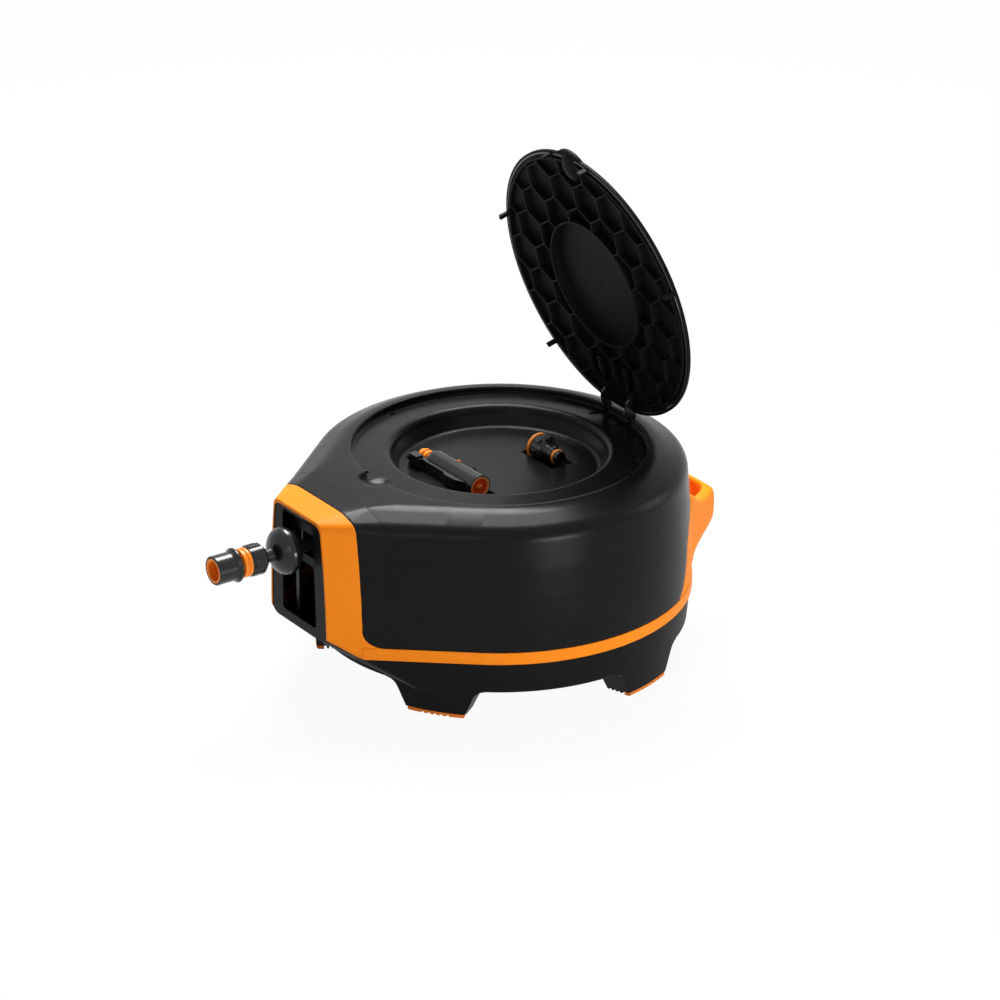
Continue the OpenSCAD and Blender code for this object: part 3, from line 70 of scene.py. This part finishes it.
# Hose and drum sizes of the source
HOSE_R = 0.0074
HOSE_DROP = 0.0535
HOSE_Z = BODY_H - HOSE_DROP
HOSE_PITCH = 0.0154
HOSE_BEND = 0.068
TURNS = 5
CORE_R = 0.070
SIDE_GAP = 0.026
FLANGE_OVER = 0.0205
FREE_GAP = 0.0005
LAYER_R = BODY_R - SIDE_GAP - FLANGE_OVER - HOSE_R
LAND_R = LAYER_R + 2 * HOSE_R + FREE_GAP
LAND_WRAP = 24
LEAD_INSET = 0.0185
LEAD_X = NOSE_X - LEAD_INSET
NUT_OUT = 0.0425
NUT_X = NOSE_X + NUT_OUT

# The nozzle's axis in x and z, which the rings of its end disc lie round
NOZZLE_AXIS = (-0.058, 0.211)

# Materials: scales and depths of their noise, the orange, and the sockets of a colour mix
DRIFT_SCALE = 14.0
GLOSS_SCALE = 45.0
CLOUD_SCALE = 60.0
SCRATCH_SCALE = (900, 900, 12)
GRAIN_DEPTH = 0.0002
ORANGE = (0.93, 0.25, 0.012)
MIX_FACTOR = 0
MIX_FIRST = 6
MIX_SECOND = 7
MIX_COLOUR = 2


def tree_of(name):
    """New material with its node tree and its surface node."""
    mat = bpy.data.materials.new(name)
    mat.use_nodes = True
    tree = mat.node_tree
    return mat, tree, tree.nodes["Principled BSDF"]


def add(tree, kind, **values):
    """New node, with values for its inputs or, where it has no such input, for its settings."""
    node = tree.nodes.new(kind)
    for key, value in values.items():
        if key in node.inputs:
            node.inputs[key].default_value = value
        else:
            setattr(node, key, value)
    return node


def noise(tree, place, **values):
    """Noise over a place."""
    node = add(tree, "ShaderNodeTexNoise", **values)
    tree.links.new(place, node.inputs["Vector"])
    return node.outputs["Fac"]


def spread(tree, value, low, high):
    """Stretches a value between 0 and 1 over the range from low to high."""
    node = add(tree, "ShaderNodeMapRange")
    node.inputs["To Min"].default_value = low
    node.inputs["To Max"].default_value = high
    tree.links.new(value, node.inputs["Value"])
    return node.outputs["Result"]


def blend(tree, factor, first, second):
    """Colour between two others."""
    node = add(tree, "ShaderNodeMix", data_type="RGBA")
    node.inputs[MIX_FIRST].default_value = [*first, 1]
    node.inputs[MIX_SECOND].default_value = [*second, 1]
    tree.links.new(factor, node.inputs[MIX_FACTOR])
    return node.outputs[MIX_COLOUR]


def grained(tree, place, strength, scale, normal=None):
    """Surface normal with a fine grain, laid over another normal if one is given."""
    node = add(tree, "ShaderNodeBump", Strength=strength, Distance=GRAIN_DEPTH)
    tree.links.new(noise(tree, place, Scale=scale, Detail=2.0), node.inputs["Height"])
    if normal:
        tree.links.new(normal, node.inputs["Normal"])
    return node.outputs["Normal"]


def plastic(name, colour, rough, grain=0.0, grain_scale=900.0, vary=0.12, spec=0.5, edge=0.0):
    """Moulded plastic: slow colour drift, uneven gloss, a fine spark-eroded grain and rounded edges."""
    mat, tree, bsdf = tree_of(name)
    place = add(tree, "ShaderNodeTexCoord").outputs["Object"]
    dark = [c * (1 - vary) for c in colour]
    light = [min(1, c * (1 + vary)) for c in colour]
    tint = blend(tree, noise(tree, place, Scale=DRIFT_SCALE, Detail=3.0), dark, light)
    cloud = noise(tree, place, Scale=GLOSS_SCALE, Detail=4.0)
    gloss = spread(tree, cloud, max(0.02, rough - 0.04), min(1, rough + 0.05))
    tree.links.new(tint, bsdf.inputs["Base Color"])
    tree.links.new(gloss, bsdf.inputs["Roughness"])
    bsdf.inputs["Specular IOR Level"].default_value = spec
    normal = None
    if edge:
        normal = add(tree, "ShaderNodeBevel", Radius=edge, samples=6).outputs["Normal"]
    if grain:
        normal = grained(tree, place, grain, grain_scale, normal)
    if normal:
        tree.links.new(normal, bsdf.inputs["Normal"])
    return mat


def metal(name, colour, rough):
    """Drawn steel or turned brass: fine scratches along one way and a cloudy tint."""
    mat, tree, bsdf = tree_of(name)
    place = add(tree, "ShaderNodeTexCoord").outputs["Object"]
    long_way = add(tree, "ShaderNodeMapping", Scale=SCRATCH_SCALE)
    tree.links.new(place, long_way.inputs["Vector"])
    scratches = noise(tree, long_way.outputs["Vector"], Scale=1.0, Detail=3.0)
    tint = blend(tree, noise(tree, place, Scale=CLOUD_SCALE), [c * 0.85 for c in colour], colour)
    tree.links.new(spread(tree, scratches, rough - 0.08, rough + 0.12), bsdf.inputs["Roughness"])
    tree.links.new(tint, bsdf.inputs["Base Color"])
    bsdf.inputs["Metallic"].default_value = 1.0
    return mat


def rubber(name, dark, light):
    """Black rubber: a pale bloom, uneven gloss and a fine grain."""
    mat, tree, bsdf = tree_of(name)
    place = add(tree, "ShaderNodeTexCoord").outputs["Object"]
    bloom = noise(tree, place, Scale=30.0, Detail=5.0, Roughness=0.6)
    tree.links.new(blend(tree, bloom, dark, light), bsdf.inputs["Base Color"])
    tree.links.new(spread(tree, bloom, 0.38, 0.52), bsdf.inputs["Roughness"])
    tree.links.new(grained(tree, place, 0.25, 700.0), bsdf.inputs["Normal"])
    bsdf.inputs["Specular IOR Level"].default_value = 0.25
    return mat


def ringed(name, centre, bands):
    """Moulded face whose colour changes in rings round its axis, which runs along y; a ring's colour can be a
    painted highlight.
    """
    mat = plastic(name, ORANGE, 0.34, grain=0.04, vary=0.04, spec=0.3, edge=0.0003)
    tree = mat.node_tree
    outermost = bands[-1][0]
    place = add(tree, "ShaderNodeTexCoord")
    shift = add(tree, "ShaderNodeVectorMath", operation="SUBTRACT")
    shift.inputs[1].default_value = (centre[0], 0, centre[1])
    flat = add(tree, "ShaderNodeVectorMath", operation="MULTIPLY")
    flat.inputs[1].default_value = (1, 0, 1)
    length = add(tree, "ShaderNodeVectorMath", operation="LENGTH")
    share = add(tree, "ShaderNodeMath", operation="DIVIDE")
    share.inputs[1].default_value = outermost
    ramp = add(tree, "ShaderNodeValToRGB")
    ramp.color_ramp.interpolation = "CONSTANT"
    stops = ramp.color_ramp.elements
    inner = 0.0
    for i, (radius, colour) in enumerate(bands):
        stop = stops[i] if i < 2 else stops.new(1.0)
        stop.position = inner / outermost
        stop.color = [*colour, 1]
        inner = radius
    tree.links.new(place.outputs["Object"], shift.inputs[0])
    tree.links.new(shift.outputs["Vector"], flat.inputs[0])
    tree.links.new(flat.outputs["Vector"], length.inputs[0])
    tree.links.new(length.outputs["Value"], share.inputs[0])
    tree.links.new(share.outputs["Value"], ramp.inputs["Fac"])
    tree.links.new(ramp.outputs["Color"], tree.nodes["Principled BSDF"].inputs["Base Color"])
    return mat


# Rings of the nozzle's end disc: the outer radius and colour of each; the pale ring is a painted highlight on
# the disc's rim
DISC_RINGS_WITH_HIGHLIGHT = (
    (0.0014, (0.75, 0.10, 0.01)),
    (0.0031, (0.95, 0.30, 0.03)),
    (0.0099, (0.88, 0.075, 0.008)),
    # Pale ring: a painted highlight on the disc's rim
    (0.0118, (1.0, 0.42, 0.14)),
    (0.0150, (0.85, 0.16, 0.012)),
)

# Looks that two materials share: the flush one has no rounded edges, which would draw a line
# where a fine piece runs on into the solid beside it
SATIN = {"colour": (0.0065, 0.0065, 0.0067), "rough": 0.26, "grain": 0.08, "grain_scale": 1400, "spec": 0.085}
DULL = {"colour": (0.0075, 0.0075, 0.0078), "rough": 0.42, "grain": 0.25, "grain_scale": 1400, "spec": 0.05}
BRIGHT = {"colour": ORANGE, "rough": 0.40, "grain": 0.08, "vary": 0.04, "spec": 0.06}

MATS = {
    "housing": plastic("black_satin", edge=0.005, **SATIN),
    "housing_flush": plastic("black_satin_flush", **SATIN),
    "base": plastic("black_base", edge=0.001, **DULL),
    "base_flush": plastic("black_base_flush", **DULL),
    "lid": plastic("black_lid", (0.0078, 0.0078, 0.008), 0.46, grain=0.15, grain_scale=1200, spec=0.035,
                   edge=0.0005),
    "frame": plastic("black_frame", (0.006, 0.006, 0.0062), 0.34, grain=0.08, spec=0.07, edge=0.0006),
    "gloss": plastic("black_gloss", (0.008, 0.008, 0.0083), 0.20, grain=0.05, spec=0.32, edge=0.0004),
    "bead": plastic("black_bead", (0.008, 0.008, 0.0083), 0.22, grain=0.03, spec=0.6),
    "orange": plastic("orange_plastic", edge=0.001, **BRIGHT),
    "orange_flush": plastic("orange_flush", **BRIGHT),
    "orange_soft": plastic("orange_handle", ORANGE, 0.44, grain=0.08, vary=0.04, spec=0.02, edge=0.0035),
    "orange_small": plastic("orange_fittings", ORANGE, 0.32, grain=0.04, vary=0.04, spec=0.25, edge=0.0003),
    # The nozzle's face carries a painted highlight on its pale rim ring
    "nozzle_face": ringed("nozzle_face_painted_highlight", NOZZLE_AXIS, DISC_RINGS_WITH_HIGHLIGHT),
    "pad": plastic("orange_pad_rubber", (0.86, 0.225, 0.018), 0.6, grain=0.35, vary=0.06, spec=0.2,
                   edge=0.0005),
    "inner": plastic("inner_black", (0.009, 0.009, 0.009), 0.5, grain=0.2, spec=0.2),
    "white": plastic("acetal", (0.62, 0.62, 0.6), 0.42, grain=0.1, vary=0.04),
    "seal": plastic("seal_rubber", (0.02, 0.02, 0.02), 0.6),
    "seal_orange": plastic("seal_orange", (0.85, 0.22, 0.02), 0.5),
    "steel": metal("steel", (0.5, 0.51, 0.52), 0.32),
    # Guide rods: steel painted dark, as painted shade inside the outlet
    "rod": metal("steel_painted_shade", (0.09, 0.09, 0.095), 0.36),
    "brass": metal("brass", (0.78, 0.58, 0.28), 0.34),
    "hose": rubber("hose_rubber", (0.007, 0.007, 0.0072), (0.014, 0.014, 0.0138)),
}
BY_NODE = {
    "top_housing": "housing", "base_housing": "base", "lid": "lid", "lid_hinge_arms": "gloss",
    "outlet_surround": "orange", "outlet_frame": "frame", "belt_band": "orange",
    "rear_handle": "orange_soft", "foot_pads": "pad", "hinge_pins": "steel",
    "axle": "brass", "spring_arbor": "steel", "lower_bush": "white", "upper_bush": "white",
    "drum_core": "inner", "spring_case": "inner", "upper_flange": "inner", "ring_gear": "white",
    "spring_case_cover": "inner", "mainspring": "steel", "ratchet_ring": "white",
    "pawl": "steel", "pawl_pin": "steel", "swivel_cap": "brass", "swivel_seals": "seal",
    "feed_pipe": "brass", "inlet_pipe": "brass", "inlet_nipple": "gloss", "inlet_seal": "seal_orange",
    "hose_inner_layers": "inner", "hose_outer_layer": "inner", "hose_lead": "inner",
    "guide_rods": "rod", "winding_screw": "steel", "screw_gear": "white", "screw_bearing": "white",
    "traveller": "frame", "left_roller": "gloss", "right_roller": "gloss", "roller_pins": "steel",
    "stop_ball": "gloss", "coupling_nut": "gloss", "coupling_body": "orange_small",
    "coupling_sleeve": "gloss", "nozzle_body": "gloss", "nozzle_face": "nozzle_face",
    "nozzle_trigger": "gloss", "nozzle_neck": "orange_small",
    "tap_collar": "gloss", "tap_ring": "orange_small", "tap_nipple": "gloss",
}
for name, obj in nodes.items():
    obj.data.materials.clear()
    obj.data.materials.append(MATS[BY_NODE[name]])

# The carrying handle's edges are rounded where it stands out from the body
GRIP_ROOT = BODY_R + 0.002
GRIP_FREE = BODY_R + 0.011
GRIP_VOXEL = 0.0013
GRIP_PASSES = 60


def rounder(obj, near, far, voxel, passes):
    """Rounds a solid's edges, from not at all at one distance from the body's axis to fully at another."""
    regrid = obj.modifiers.new("even_faces", "REMESH")
    regrid.mode = "VOXEL"
    regrid.voxel_size = voxel
    regrid.use_smooth_shade = True
    group = bpy.data.node_groups.new("rounded_edges", "GeometryNodeTree")
    group.interface.new_socket("Geometry", in_out="INPUT", socket_type="NodeSocketGeometry")
    group.interface.new_socket("Geometry", in_out="OUTPUT", socket_type="NodeSocketGeometry")
    source = add(group, "NodeGroupInput")
    result = add(group, "NodeGroupOutput")
    place = add(group, "GeometryNodeInputPosition")
    flat = add(group, "ShaderNodeVectorMath", operation="MULTIPLY")
    flat.inputs[1].default_value = (1, 1, 0)
    away = add(group, "ShaderNodeVectorMath", operation="LENGTH")
    fade = add(group, "ShaderNodeMapRange")
    fade.inputs["From Min"].default_value = near
    fade.inputs["From Max"].default_value = far
    blur = add(group, "GeometryNodeBlurAttribute", data_type="FLOAT_VECTOR", Iterations=passes)
    value = [socket for socket in blur.inputs if socket.enabled and socket.name == "Value"][0]
    blurred = [socket for socket in blur.outputs if socket.enabled][0]
    move = add(group, "GeometryNodeSetPosition")
    group.links.new(place.outputs[0], flat.inputs[0])
    group.links.new(flat.outputs[0], away.inputs[0])
    group.links.new(away.outputs["Value"], fade.inputs["Value"])
    group.links.new(fade.outputs["Result"], blur.inputs["Weight"])
    group.links.new(place.outputs[0], value)
    group.links.new(blurred, move.inputs["Position"])
    group.links.new(source.outputs[0], move.inputs["Geometry"])
    group.links.new(move.outputs[0], result.inputs[0])
    obj.modifiers.new("rounded_edges", "NODES").node_group = group


rounder(nodes["rear_handle"], GRIP_ROOT, GRIP_FREE, GRIP_VOXEL, GRIP_PASSES)


# Fine pieces
def join_rings(bm, one, two):
    """Band of faces between two rings of points."""
    for k in range(len(one)):
        n = (k + 1) % len(one)
        bm.faces.new((one[k], one[n], two[n], two[k]))


def finished(name, bm, material):
    """Smooth object from a closed mesh."""
    bmesh.ops.recalc_face_normals(bm, faces=bm.faces)
    mesh = bpy.data.meshes.new(name)
    bm.to_mesh(mesh)
    bm.free()
    for face in mesh.polygons:
        face.use_smooth = True
    piece = bpy.data.objects.new(name, mesh)
    scene.collection.objects.link(piece)
    mesh.materials.append(material)
    return piece


def on_ring(radius, degrees, z):
    """Point on a level ring round the body's axis."""
    a = math.radians(degrees)
    return (radius * math.cos(a), radius * math.sin(a), z)


# Hose: the source's route and turns as round tubes, with the steps along each stretch, the room
# left round the inner layers, and the share of a turn in which one layer steps out to the next
STRAIGHT_STEP = 0.004
BEND_STEPS = 32
REACH_STEPS = 24
WRAP_STEPS = 16
OUTER_START = 40
OUTER_STEPS = 64
INNER_STEPS = 56
INNER_LAYERS = 5
INNER_CLEAR = 0.0004
OUTER_CLEAR = 0.0016
STEP_OUT = 0.3

# Rings that close a tube's end: share of its width, and how far in from the end
END_RINGS = ((0.93, -0.0004), (0.62, -0.0005), (0.58, 0.004))


def tube(name, path, radius, sides, material):
    """Round tube along a list of points, with rounded closed ends."""
    path = [Vector(p) for p in path]
    up = Vector((0, 0, 1))
    last = len(path) - 1
    bm = bmesh.new()
    rings = []
    for i, point in enumerate(path):
        ahead = (path[min(i + 1, last)] - path[max(i - 1, 0)]).normalized()
        across = ahead.cross(up).normalized()
        upward = across.cross(ahead)
        ring = []
        for k in range(sides):
            a = 2 * math.pi * k / sides
            ring.append(bm.verts.new(point + (across * math.cos(a) + upward * math.sin(a)) * radius))
        rings.append(ring)
    for one, two in zip(rings, rings[1:]):
        join_rings(bm, one, two)
    for ring, point, step in ((rings[0], path[0], path[1]), (rings[-1], path[-1], path[-2])):
        inward = (step - point).normalized()
        edge = ring
        for shrink, sink in END_RINGS:
            smaller = [bm.verts.new(point + (v.co - point) * shrink + inward * sink) for v in ring]
            join_rings(bm, edge, smaller)
            edge = smaller
        bm.faces.new(edge)
    return finished(name, bm, material)


def lead_path():
    """From the coupling straight into the outlet, round one bend and on to the drum, and where it lands."""
    turn = math.degrees(math.asin((LAND_R + HOSE_BEND) / math.hypot(LEAD_X, HOSE_BEND))
                        - math.atan(HOSE_BEND / LEAD_X))
    land = 90 + turn
    points = [(STRAIGHT_STEP * i - NUT_X, 0, HOSE_Z) for i in range(int((NUT_X - LEAD_X) / STRAIGHT_STEP))]
    for i in range(BEND_STEPS + 1):
        a = math.radians(turn * i / BEND_STEPS)
        points.append((-LEAD_X + HOSE_BEND * math.sin(a), HOSE_BEND * (1 - math.cos(a)), HOSE_Z))
    start = Vector(points[-1])
    stop = Vector(on_ring(LAND_R, land, HOSE_Z))
    points += [start.lerp(stop, i / REACH_STEPS) for i in range(1, REACH_STEPS)]
    points += [on_ring(LAND_R, land - LAND_WRAP * i / WRAP_STEPS, HOSE_Z) for i in range(WRAP_STEPS + 1)]
    return points, land


def outer_path(start):
    """The outer layer's turns, wound down from the height of the lead."""
    return [on_ring(LAYER_R, start - 360 * i / OUTER_STEPS, HOSE_Z - i * HOSE_PITCH / OUTER_STEPS)
            for i in range(OUTER_STEPS * TURNS + 1)]


def inner_path():
    """The layers under the outer one, each wound back over the last and stepping out at its end."""
    low = HOSE_Z - TURNS * HOSE_PITCH + INNER_CLEAR
    high = HOSE_Z - INNER_CLEAR
    first = CORE_R + HOSE_R + INNER_CLEAR
    last = LAYER_R - HOSE_R - OUTER_CLEAR - HOSE_R
    gap = (last - first) / (INNER_LAYERS - 1)
    points = []
    for layer in range(INNER_LAYERS):
        radius = first + gap * layer
        for i in range(TURNS * INNER_STEPS):
            part = i / (TURNS * INNER_STEPS)
            z = high + (low - high) * (part if layer % 2 == 0 else 1 - part)
            out = 0.0
            if layer < INNER_LAYERS - 1:
                out = max(0.0, part - (1 - STEP_OUT / TURNS)) * TURNS / STEP_OUT
            points.append(on_ring(radius + gap * out, -360 * (layer * TURNS + i / INNER_STEPS), z))
    return points


lead_points, land_angle = lead_path()
for name, points, node, body, sides in (
        ("hose_lead_tube", lead_points, "hose_lead", "traveller", 32),
        ("hose_outer_turns", outer_path(land_angle - OUTER_START), "hose_outer_layer", "drum", 20),
        ("hose_inner_turns", inner_path(), "hose_inner_layers", "drum", 14)):
    piece = tube(name, points, HOSE_R, sides, MATS["hose"])
    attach(piece, body)
    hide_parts(node)

# Fairings run the nose's flat sides back over the step that the solids have beside the round body.
# They stand proud of the solids by a hair, sink into them behind, and end a little past the step.
PROUD = 0.00008
DEEP = 0.002
PAST = 0.0065
TUCK = 0.001
REACHES = 6
SIDE_STEPS = 4
EDGE_STEPS = 6
CREST_STEPS = 3
BELT_EDGE = 0.001
SEAM = 0.00005
BASE_LOW_Z = ARCH_H + 0.001


def solid_grid(name, outer, inner, material):
    """Closed piece between an outer and an inner grid of points, both given as rows."""
    bm = bmesh.new()
    front, back = [[[bm.verts.new(p) for p in row] for row in grid] for grid in (outer, inner)]
    rows = len(outer)
    cols = len(outer[0])
    for grid in (front, back):
        for i in range(rows - 1):
            for j in range(cols - 1):
                bm.faces.new((grid[i][j], grid[i][j + 1], grid[i + 1][j + 1], grid[i + 1][j]))
    rim = [(0, j) for j in range(cols)] + [(i, cols - 1) for i in range(1, rows)]
    rim += [(rows - 1, j) for j in range(cols - 2, -1, -1)] + [(i, 0) for i in range(rows - 2, 0, -1)]
    for (i, j), (next_i, next_j) in zip(rim, rim[1:] + rim[:1]):
        bm.faces.new((front[i][j], front[next_i][next_j], back[next_i][next_j], back[i][j]))
        bm.edges.get((front[i][j], front[next_i][next_j])).smooth = False
    return finished(name, bm, material)


def side_outline():
    """Outline of the body's side from the belt over the shoulder to the rim of the recess."""
    slope = math.radians(SHOULDER)
    lean = math.radians(SIDE_LEAN)
    top_r = SIDE_FOOT - SIDE_DRAFT
    end_x = CREST_X + CREST_R * math.sin(slope)
    end_z = BODY_H - CREST_R * (1 - math.cos(slope))
    edge_x = top_r - EDGE_R * math.cos(lean)
    run = (edge_x + EDGE_R * math.sin(slope) - end_x) / math.cos(slope)
    edge_z = end_z - run * math.sin(slope) - EDGE_R * math.cos(slope)
    bend_z = edge_z + EDGE_R * math.sin(lean)
    points = []
    for i in range(SIDE_STEPS):
        z = SIDE_Z0 + (bend_z - SIDE_Z0) * i / SIDE_STEPS
        rise = (z - SIDE_Z0) / (SIDE_TOP_Z - SIDE_Z0)
        points.append((SIDE_FOOT - SIDE_DRAFT * rise ** 2, z))
    for i in range(EDGE_STEPS + 1):
        a = math.radians(SIDE_LEAN + (90 - SHOULDER - SIDE_LEAN) * i / EDGE_STEPS)
        points.append((edge_x + EDGE_R * math.cos(a), edge_z + EDGE_R * math.sin(a)))
    for i in range(CREST_STEPS + 1):
        a = math.radians(90 - SHOULDER + SHOULDER * i / CREST_STEPS)
        points.append((CREST_X + CREST_R * math.cos(a), BODY_H - CREST_R + CREST_R * math.sin(a)))
    return points


def belt_outline():
    """Outline of the belt, with its two small edges."""
    return [(BODY_R - BELT_EDGE, BELT_Z + SEAM), (BODY_R, BELT_Z + BELT_EDGE),
            (BODY_R, SIDE_Z0 - BELT_EDGE), (SIDE_FOOT, SIDE_Z0 - SEAM)]


def base_outline():
    """Outline of the base from just above the arches between its feet up to the belt."""
    low_r = FOOT_R + (BASE_TOP_R - FOOT_R) * (BASE_LOW_Z - PAD_H) / (BELT_Z - PAD_H)
    return [(low_r, BASE_LOW_Z), (BASE_TOP_R, BELT_Z)]


def side_fairing(name, outline, side, material):
    """Runs the nose's flat side back to where it touches the round body, flush with both."""
    normal = Vector((-math.sin(NOSE_ANGLE), side * math.cos(NOSE_ANGLE), 0))
    along = Vector((-math.cos(NOSE_ANGLE), -side * math.sin(NOSE_ANGLE), 0))
    slant = math.tan(math.radians(90) - 2 * NOSE_ANGLE)
    outer = []
    inner = []
    for x, z in outline:
        steps = [along * (x * slant + PAST) * k / REACHES for k in range(REACHES + 1)]
        outer.append([normal * (x + PROUD) + step + Vector((0, 0, z)) for step in steps])
        inner.append([normal * (x - DEEP) + step + Vector((0, 0, z - TUCK)) for step in steps])
    return solid_grid(name, outer, inner, material)


for label, side in (("left", 1), ("right", -1)):
    for part, outline, look, slot in (
            ("side", side_outline(), "housing_flush", "housing"),
            ("belt", belt_outline(), "orange_flush", "orange"),
            ("base", base_outline(), "base_flush", "housing")):
        piece = side_fairing(part + "_fairing_" + label, outline, side, MATS[look])
        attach(piece, "housing")

# Bead of the lid's rim, which leaves out the two hinge arms
BEAD_R = LID_R - 0.0035
BEAD_Z = BODY_H + 0.0002
BEAD_HALF = 0.0014
BEAD_START = 14
BEAD_STOP = 360 - BEAD_START
BEAD_STEPS = 120
BEAD_SIDES = 10


def opened(point):
    """Point of the closed lid, turned about its hinge to where it stands open."""
    turn = Matrix.Rotation(math.radians(LID_OPEN), 4, "Y")
    hinge = Vector((HINGE_X, 0, HINGE_Z))
    return turn @ (Vector(point) - hinge) + hinge


def lid_bead(name, material):
    """Round bead along the lid's rim, from one side of the hinge to the other."""
    bm = bmesh.new()
    rings = []
    for i in range(BEAD_STEPS + 1):
        angle = BEAD_START + (BEAD_STOP - BEAD_START) * i / BEAD_STEPS
        ring = []
        for k in range(BEAD_SIDES):
            b = 2 * math.pi * k / BEAD_SIDES
            point = on_ring(BEAD_R + BEAD_HALF * math.cos(b), angle, BEAD_Z + BEAD_HALF * math.sin(b))
            ring.append(bm.verts.new(opened(point)))
        rings.append(ring)
    for one, two in zip(rings, rings[1:]):
        join_rings(bm, one, two)
    bm.faces.new(rings[0])
    bm.faces.new(rings[-1])
    return finished(name, bm, material)


bead = lid_bead("lid_rim_bead", MATS["bead"])
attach(bead, "lid")

# Camera
CAMERA_PLACE = (-2.2884, -3.2597, 1.9522)
CAMERA_AIM = (0.0708, 0.1000, 0.1093)
CAMERA_LENS = 145.22
CAMERA_FILM = 36


def turned_to(target, place):
    """Rotation of a camera or lamp at a place that faces a target."""
    return (Vector(target) - Vector(place)).to_track_quat("-Z", "Y").to_euler()


camera = bpy.data.objects.new("camera", bpy.data.cameras.new("camera"))
scene.collection.objects.link(camera)
camera.location = CAMERA_PLACE
camera.rotation_euler = turned_to(CAMERA_AIM, CAMERA_PLACE)
camera.data.lens = CAMERA_LENS
camera.data.sensor_width = CAMERA_FILM
camera.data.sensor_height = CAMERA_FILM
camera.data.clip_end = 50
scene.camera = camera

# Floor and world
WHITE = (1, 1, 1, 1)
FLOOR_HALF = 14.0
FLOOR_GREY = 0.66
FLOOR_GLOW = 0.95
WORLD_LIGHT = 0.2


def seen_directly(tree):
    """1 for what the camera sees by itself, in a reflection or through glass, and otherwise 0."""
    path = add(tree, "ShaderNodeLightPath")
    seen = path.outputs["Is Camera Ray"]
    for ray in ("Is Glossy Ray", "Is Transmission Ray"):
        either = add(tree, "ShaderNodeMath", operation="MAXIMUM")
        tree.links.new(seen, either.inputs[0])
        tree.links.new(path.outputs[ray], either.inputs[1])
        seen = either.outputs["Value"]
    return seen


def shade_mix(tree, factor, lit, shown, output):
    """Joins what gives light and what is shown into the tree's output."""
    mix = add(tree, "ShaderNodeMixShader")
    tree.links.new(factor, mix.inputs["Fac"])
    tree.links.new(lit, mix.inputs[1])
    tree.links.new(shown, mix.inputs[2])
    tree.links.new(mix.outputs["Shader"], tree.nodes[output].inputs["Surface"])


def white_floor(name):
    """Pale ground that keeps the object's shadow and shows nearly white where nothing falls on it."""
    mat, tree, bsdf = tree_of(name)
    bsdf.inputs["Base Color"].default_value = (FLOOR_GREY, FLOOR_GREY, FLOOR_GREY, 1)
    bsdf.inputs["Roughness"].default_value = 0.9
    bsdf.inputs["Specular IOR Level"].default_value = 0.1
    amount = add(tree, "ShaderNodeMath", operation="MULTIPLY")
    amount.inputs[1].default_value = FLOOR_GLOW
    tree.links.new(seen_directly(tree), amount.inputs[0])
    glow = add(tree, "ShaderNodeEmission", Strength=1.0, Color=WHITE)
    shade_mix(tree, amount.outputs["Value"], bsdf.outputs["BSDF"], glow.outputs["Emission"],
              "Material Output")
    return mat


def white_world(name):
    """World that lights the object softly and shows plain white."""
    world = bpy.data.worlds.new(name)
    world.use_nodes = True
    tree = world.node_tree
    soft = tree.nodes["Background"]
    soft.inputs["Color"].default_value = WHITE
    soft.inputs["Strength"].default_value = WORLD_LIGHT
    plain = add(tree, "ShaderNodeBackground", Strength=1.0, Color=WHITE)
    shade_mix(tree, seen_directly(tree), soft.outputs["Background"], plain.outputs["Background"],
              "World Output")
    return world


corners = [(x * FLOOR_HALF, y * FLOOR_HALF, 0) for x, y in ((-1, -1), (1, -1), (1, 1), (-1, 1))]
ground = bpy.data.meshes.new("ground")
ground.from_pydata(corners, [], [(0, 1, 2, 3)])
floor = bpy.data.objects.new("studio_floor", ground)
scene.collection.objects.link(floor)
ground.materials.append(white_floor("floor_white"))
scene.world = white_world("studio")

# Softboxes: name, place, target, width and height, watts
LAMPS = (
    ("key", (-0.07, -1.2, 0.12), (-0.03, 0, 0.12), (0.45, 0.2), 6),
    ("top", (0.55, 0.9, 2.2), (0, 0, 0.2), (1.3, 1.0), 115),
    ("right", (2.4, -1.0, 1.0), (0.1, 0, 0.15), (0.9, 1.4), 11),
    ("left", (-1.8, -1.3, 0.9), (0, 0, 0.25), (0.8, 0.8), 4),
)
for name, place, target, size, watts in LAMPS:
    lamp = bpy.data.objects.new(name, bpy.data.lights.new(name, "AREA"))
    scene.collection.objects.link(lamp)
    lamp.data.shape = "RECTANGLE"
    lamp.data.size = size[0]
    lamp.data.size_y = size[1]
    lamp.data.energy = watts
    lamp.location = place
    lamp.rotation_euler = turned_to(target, place)
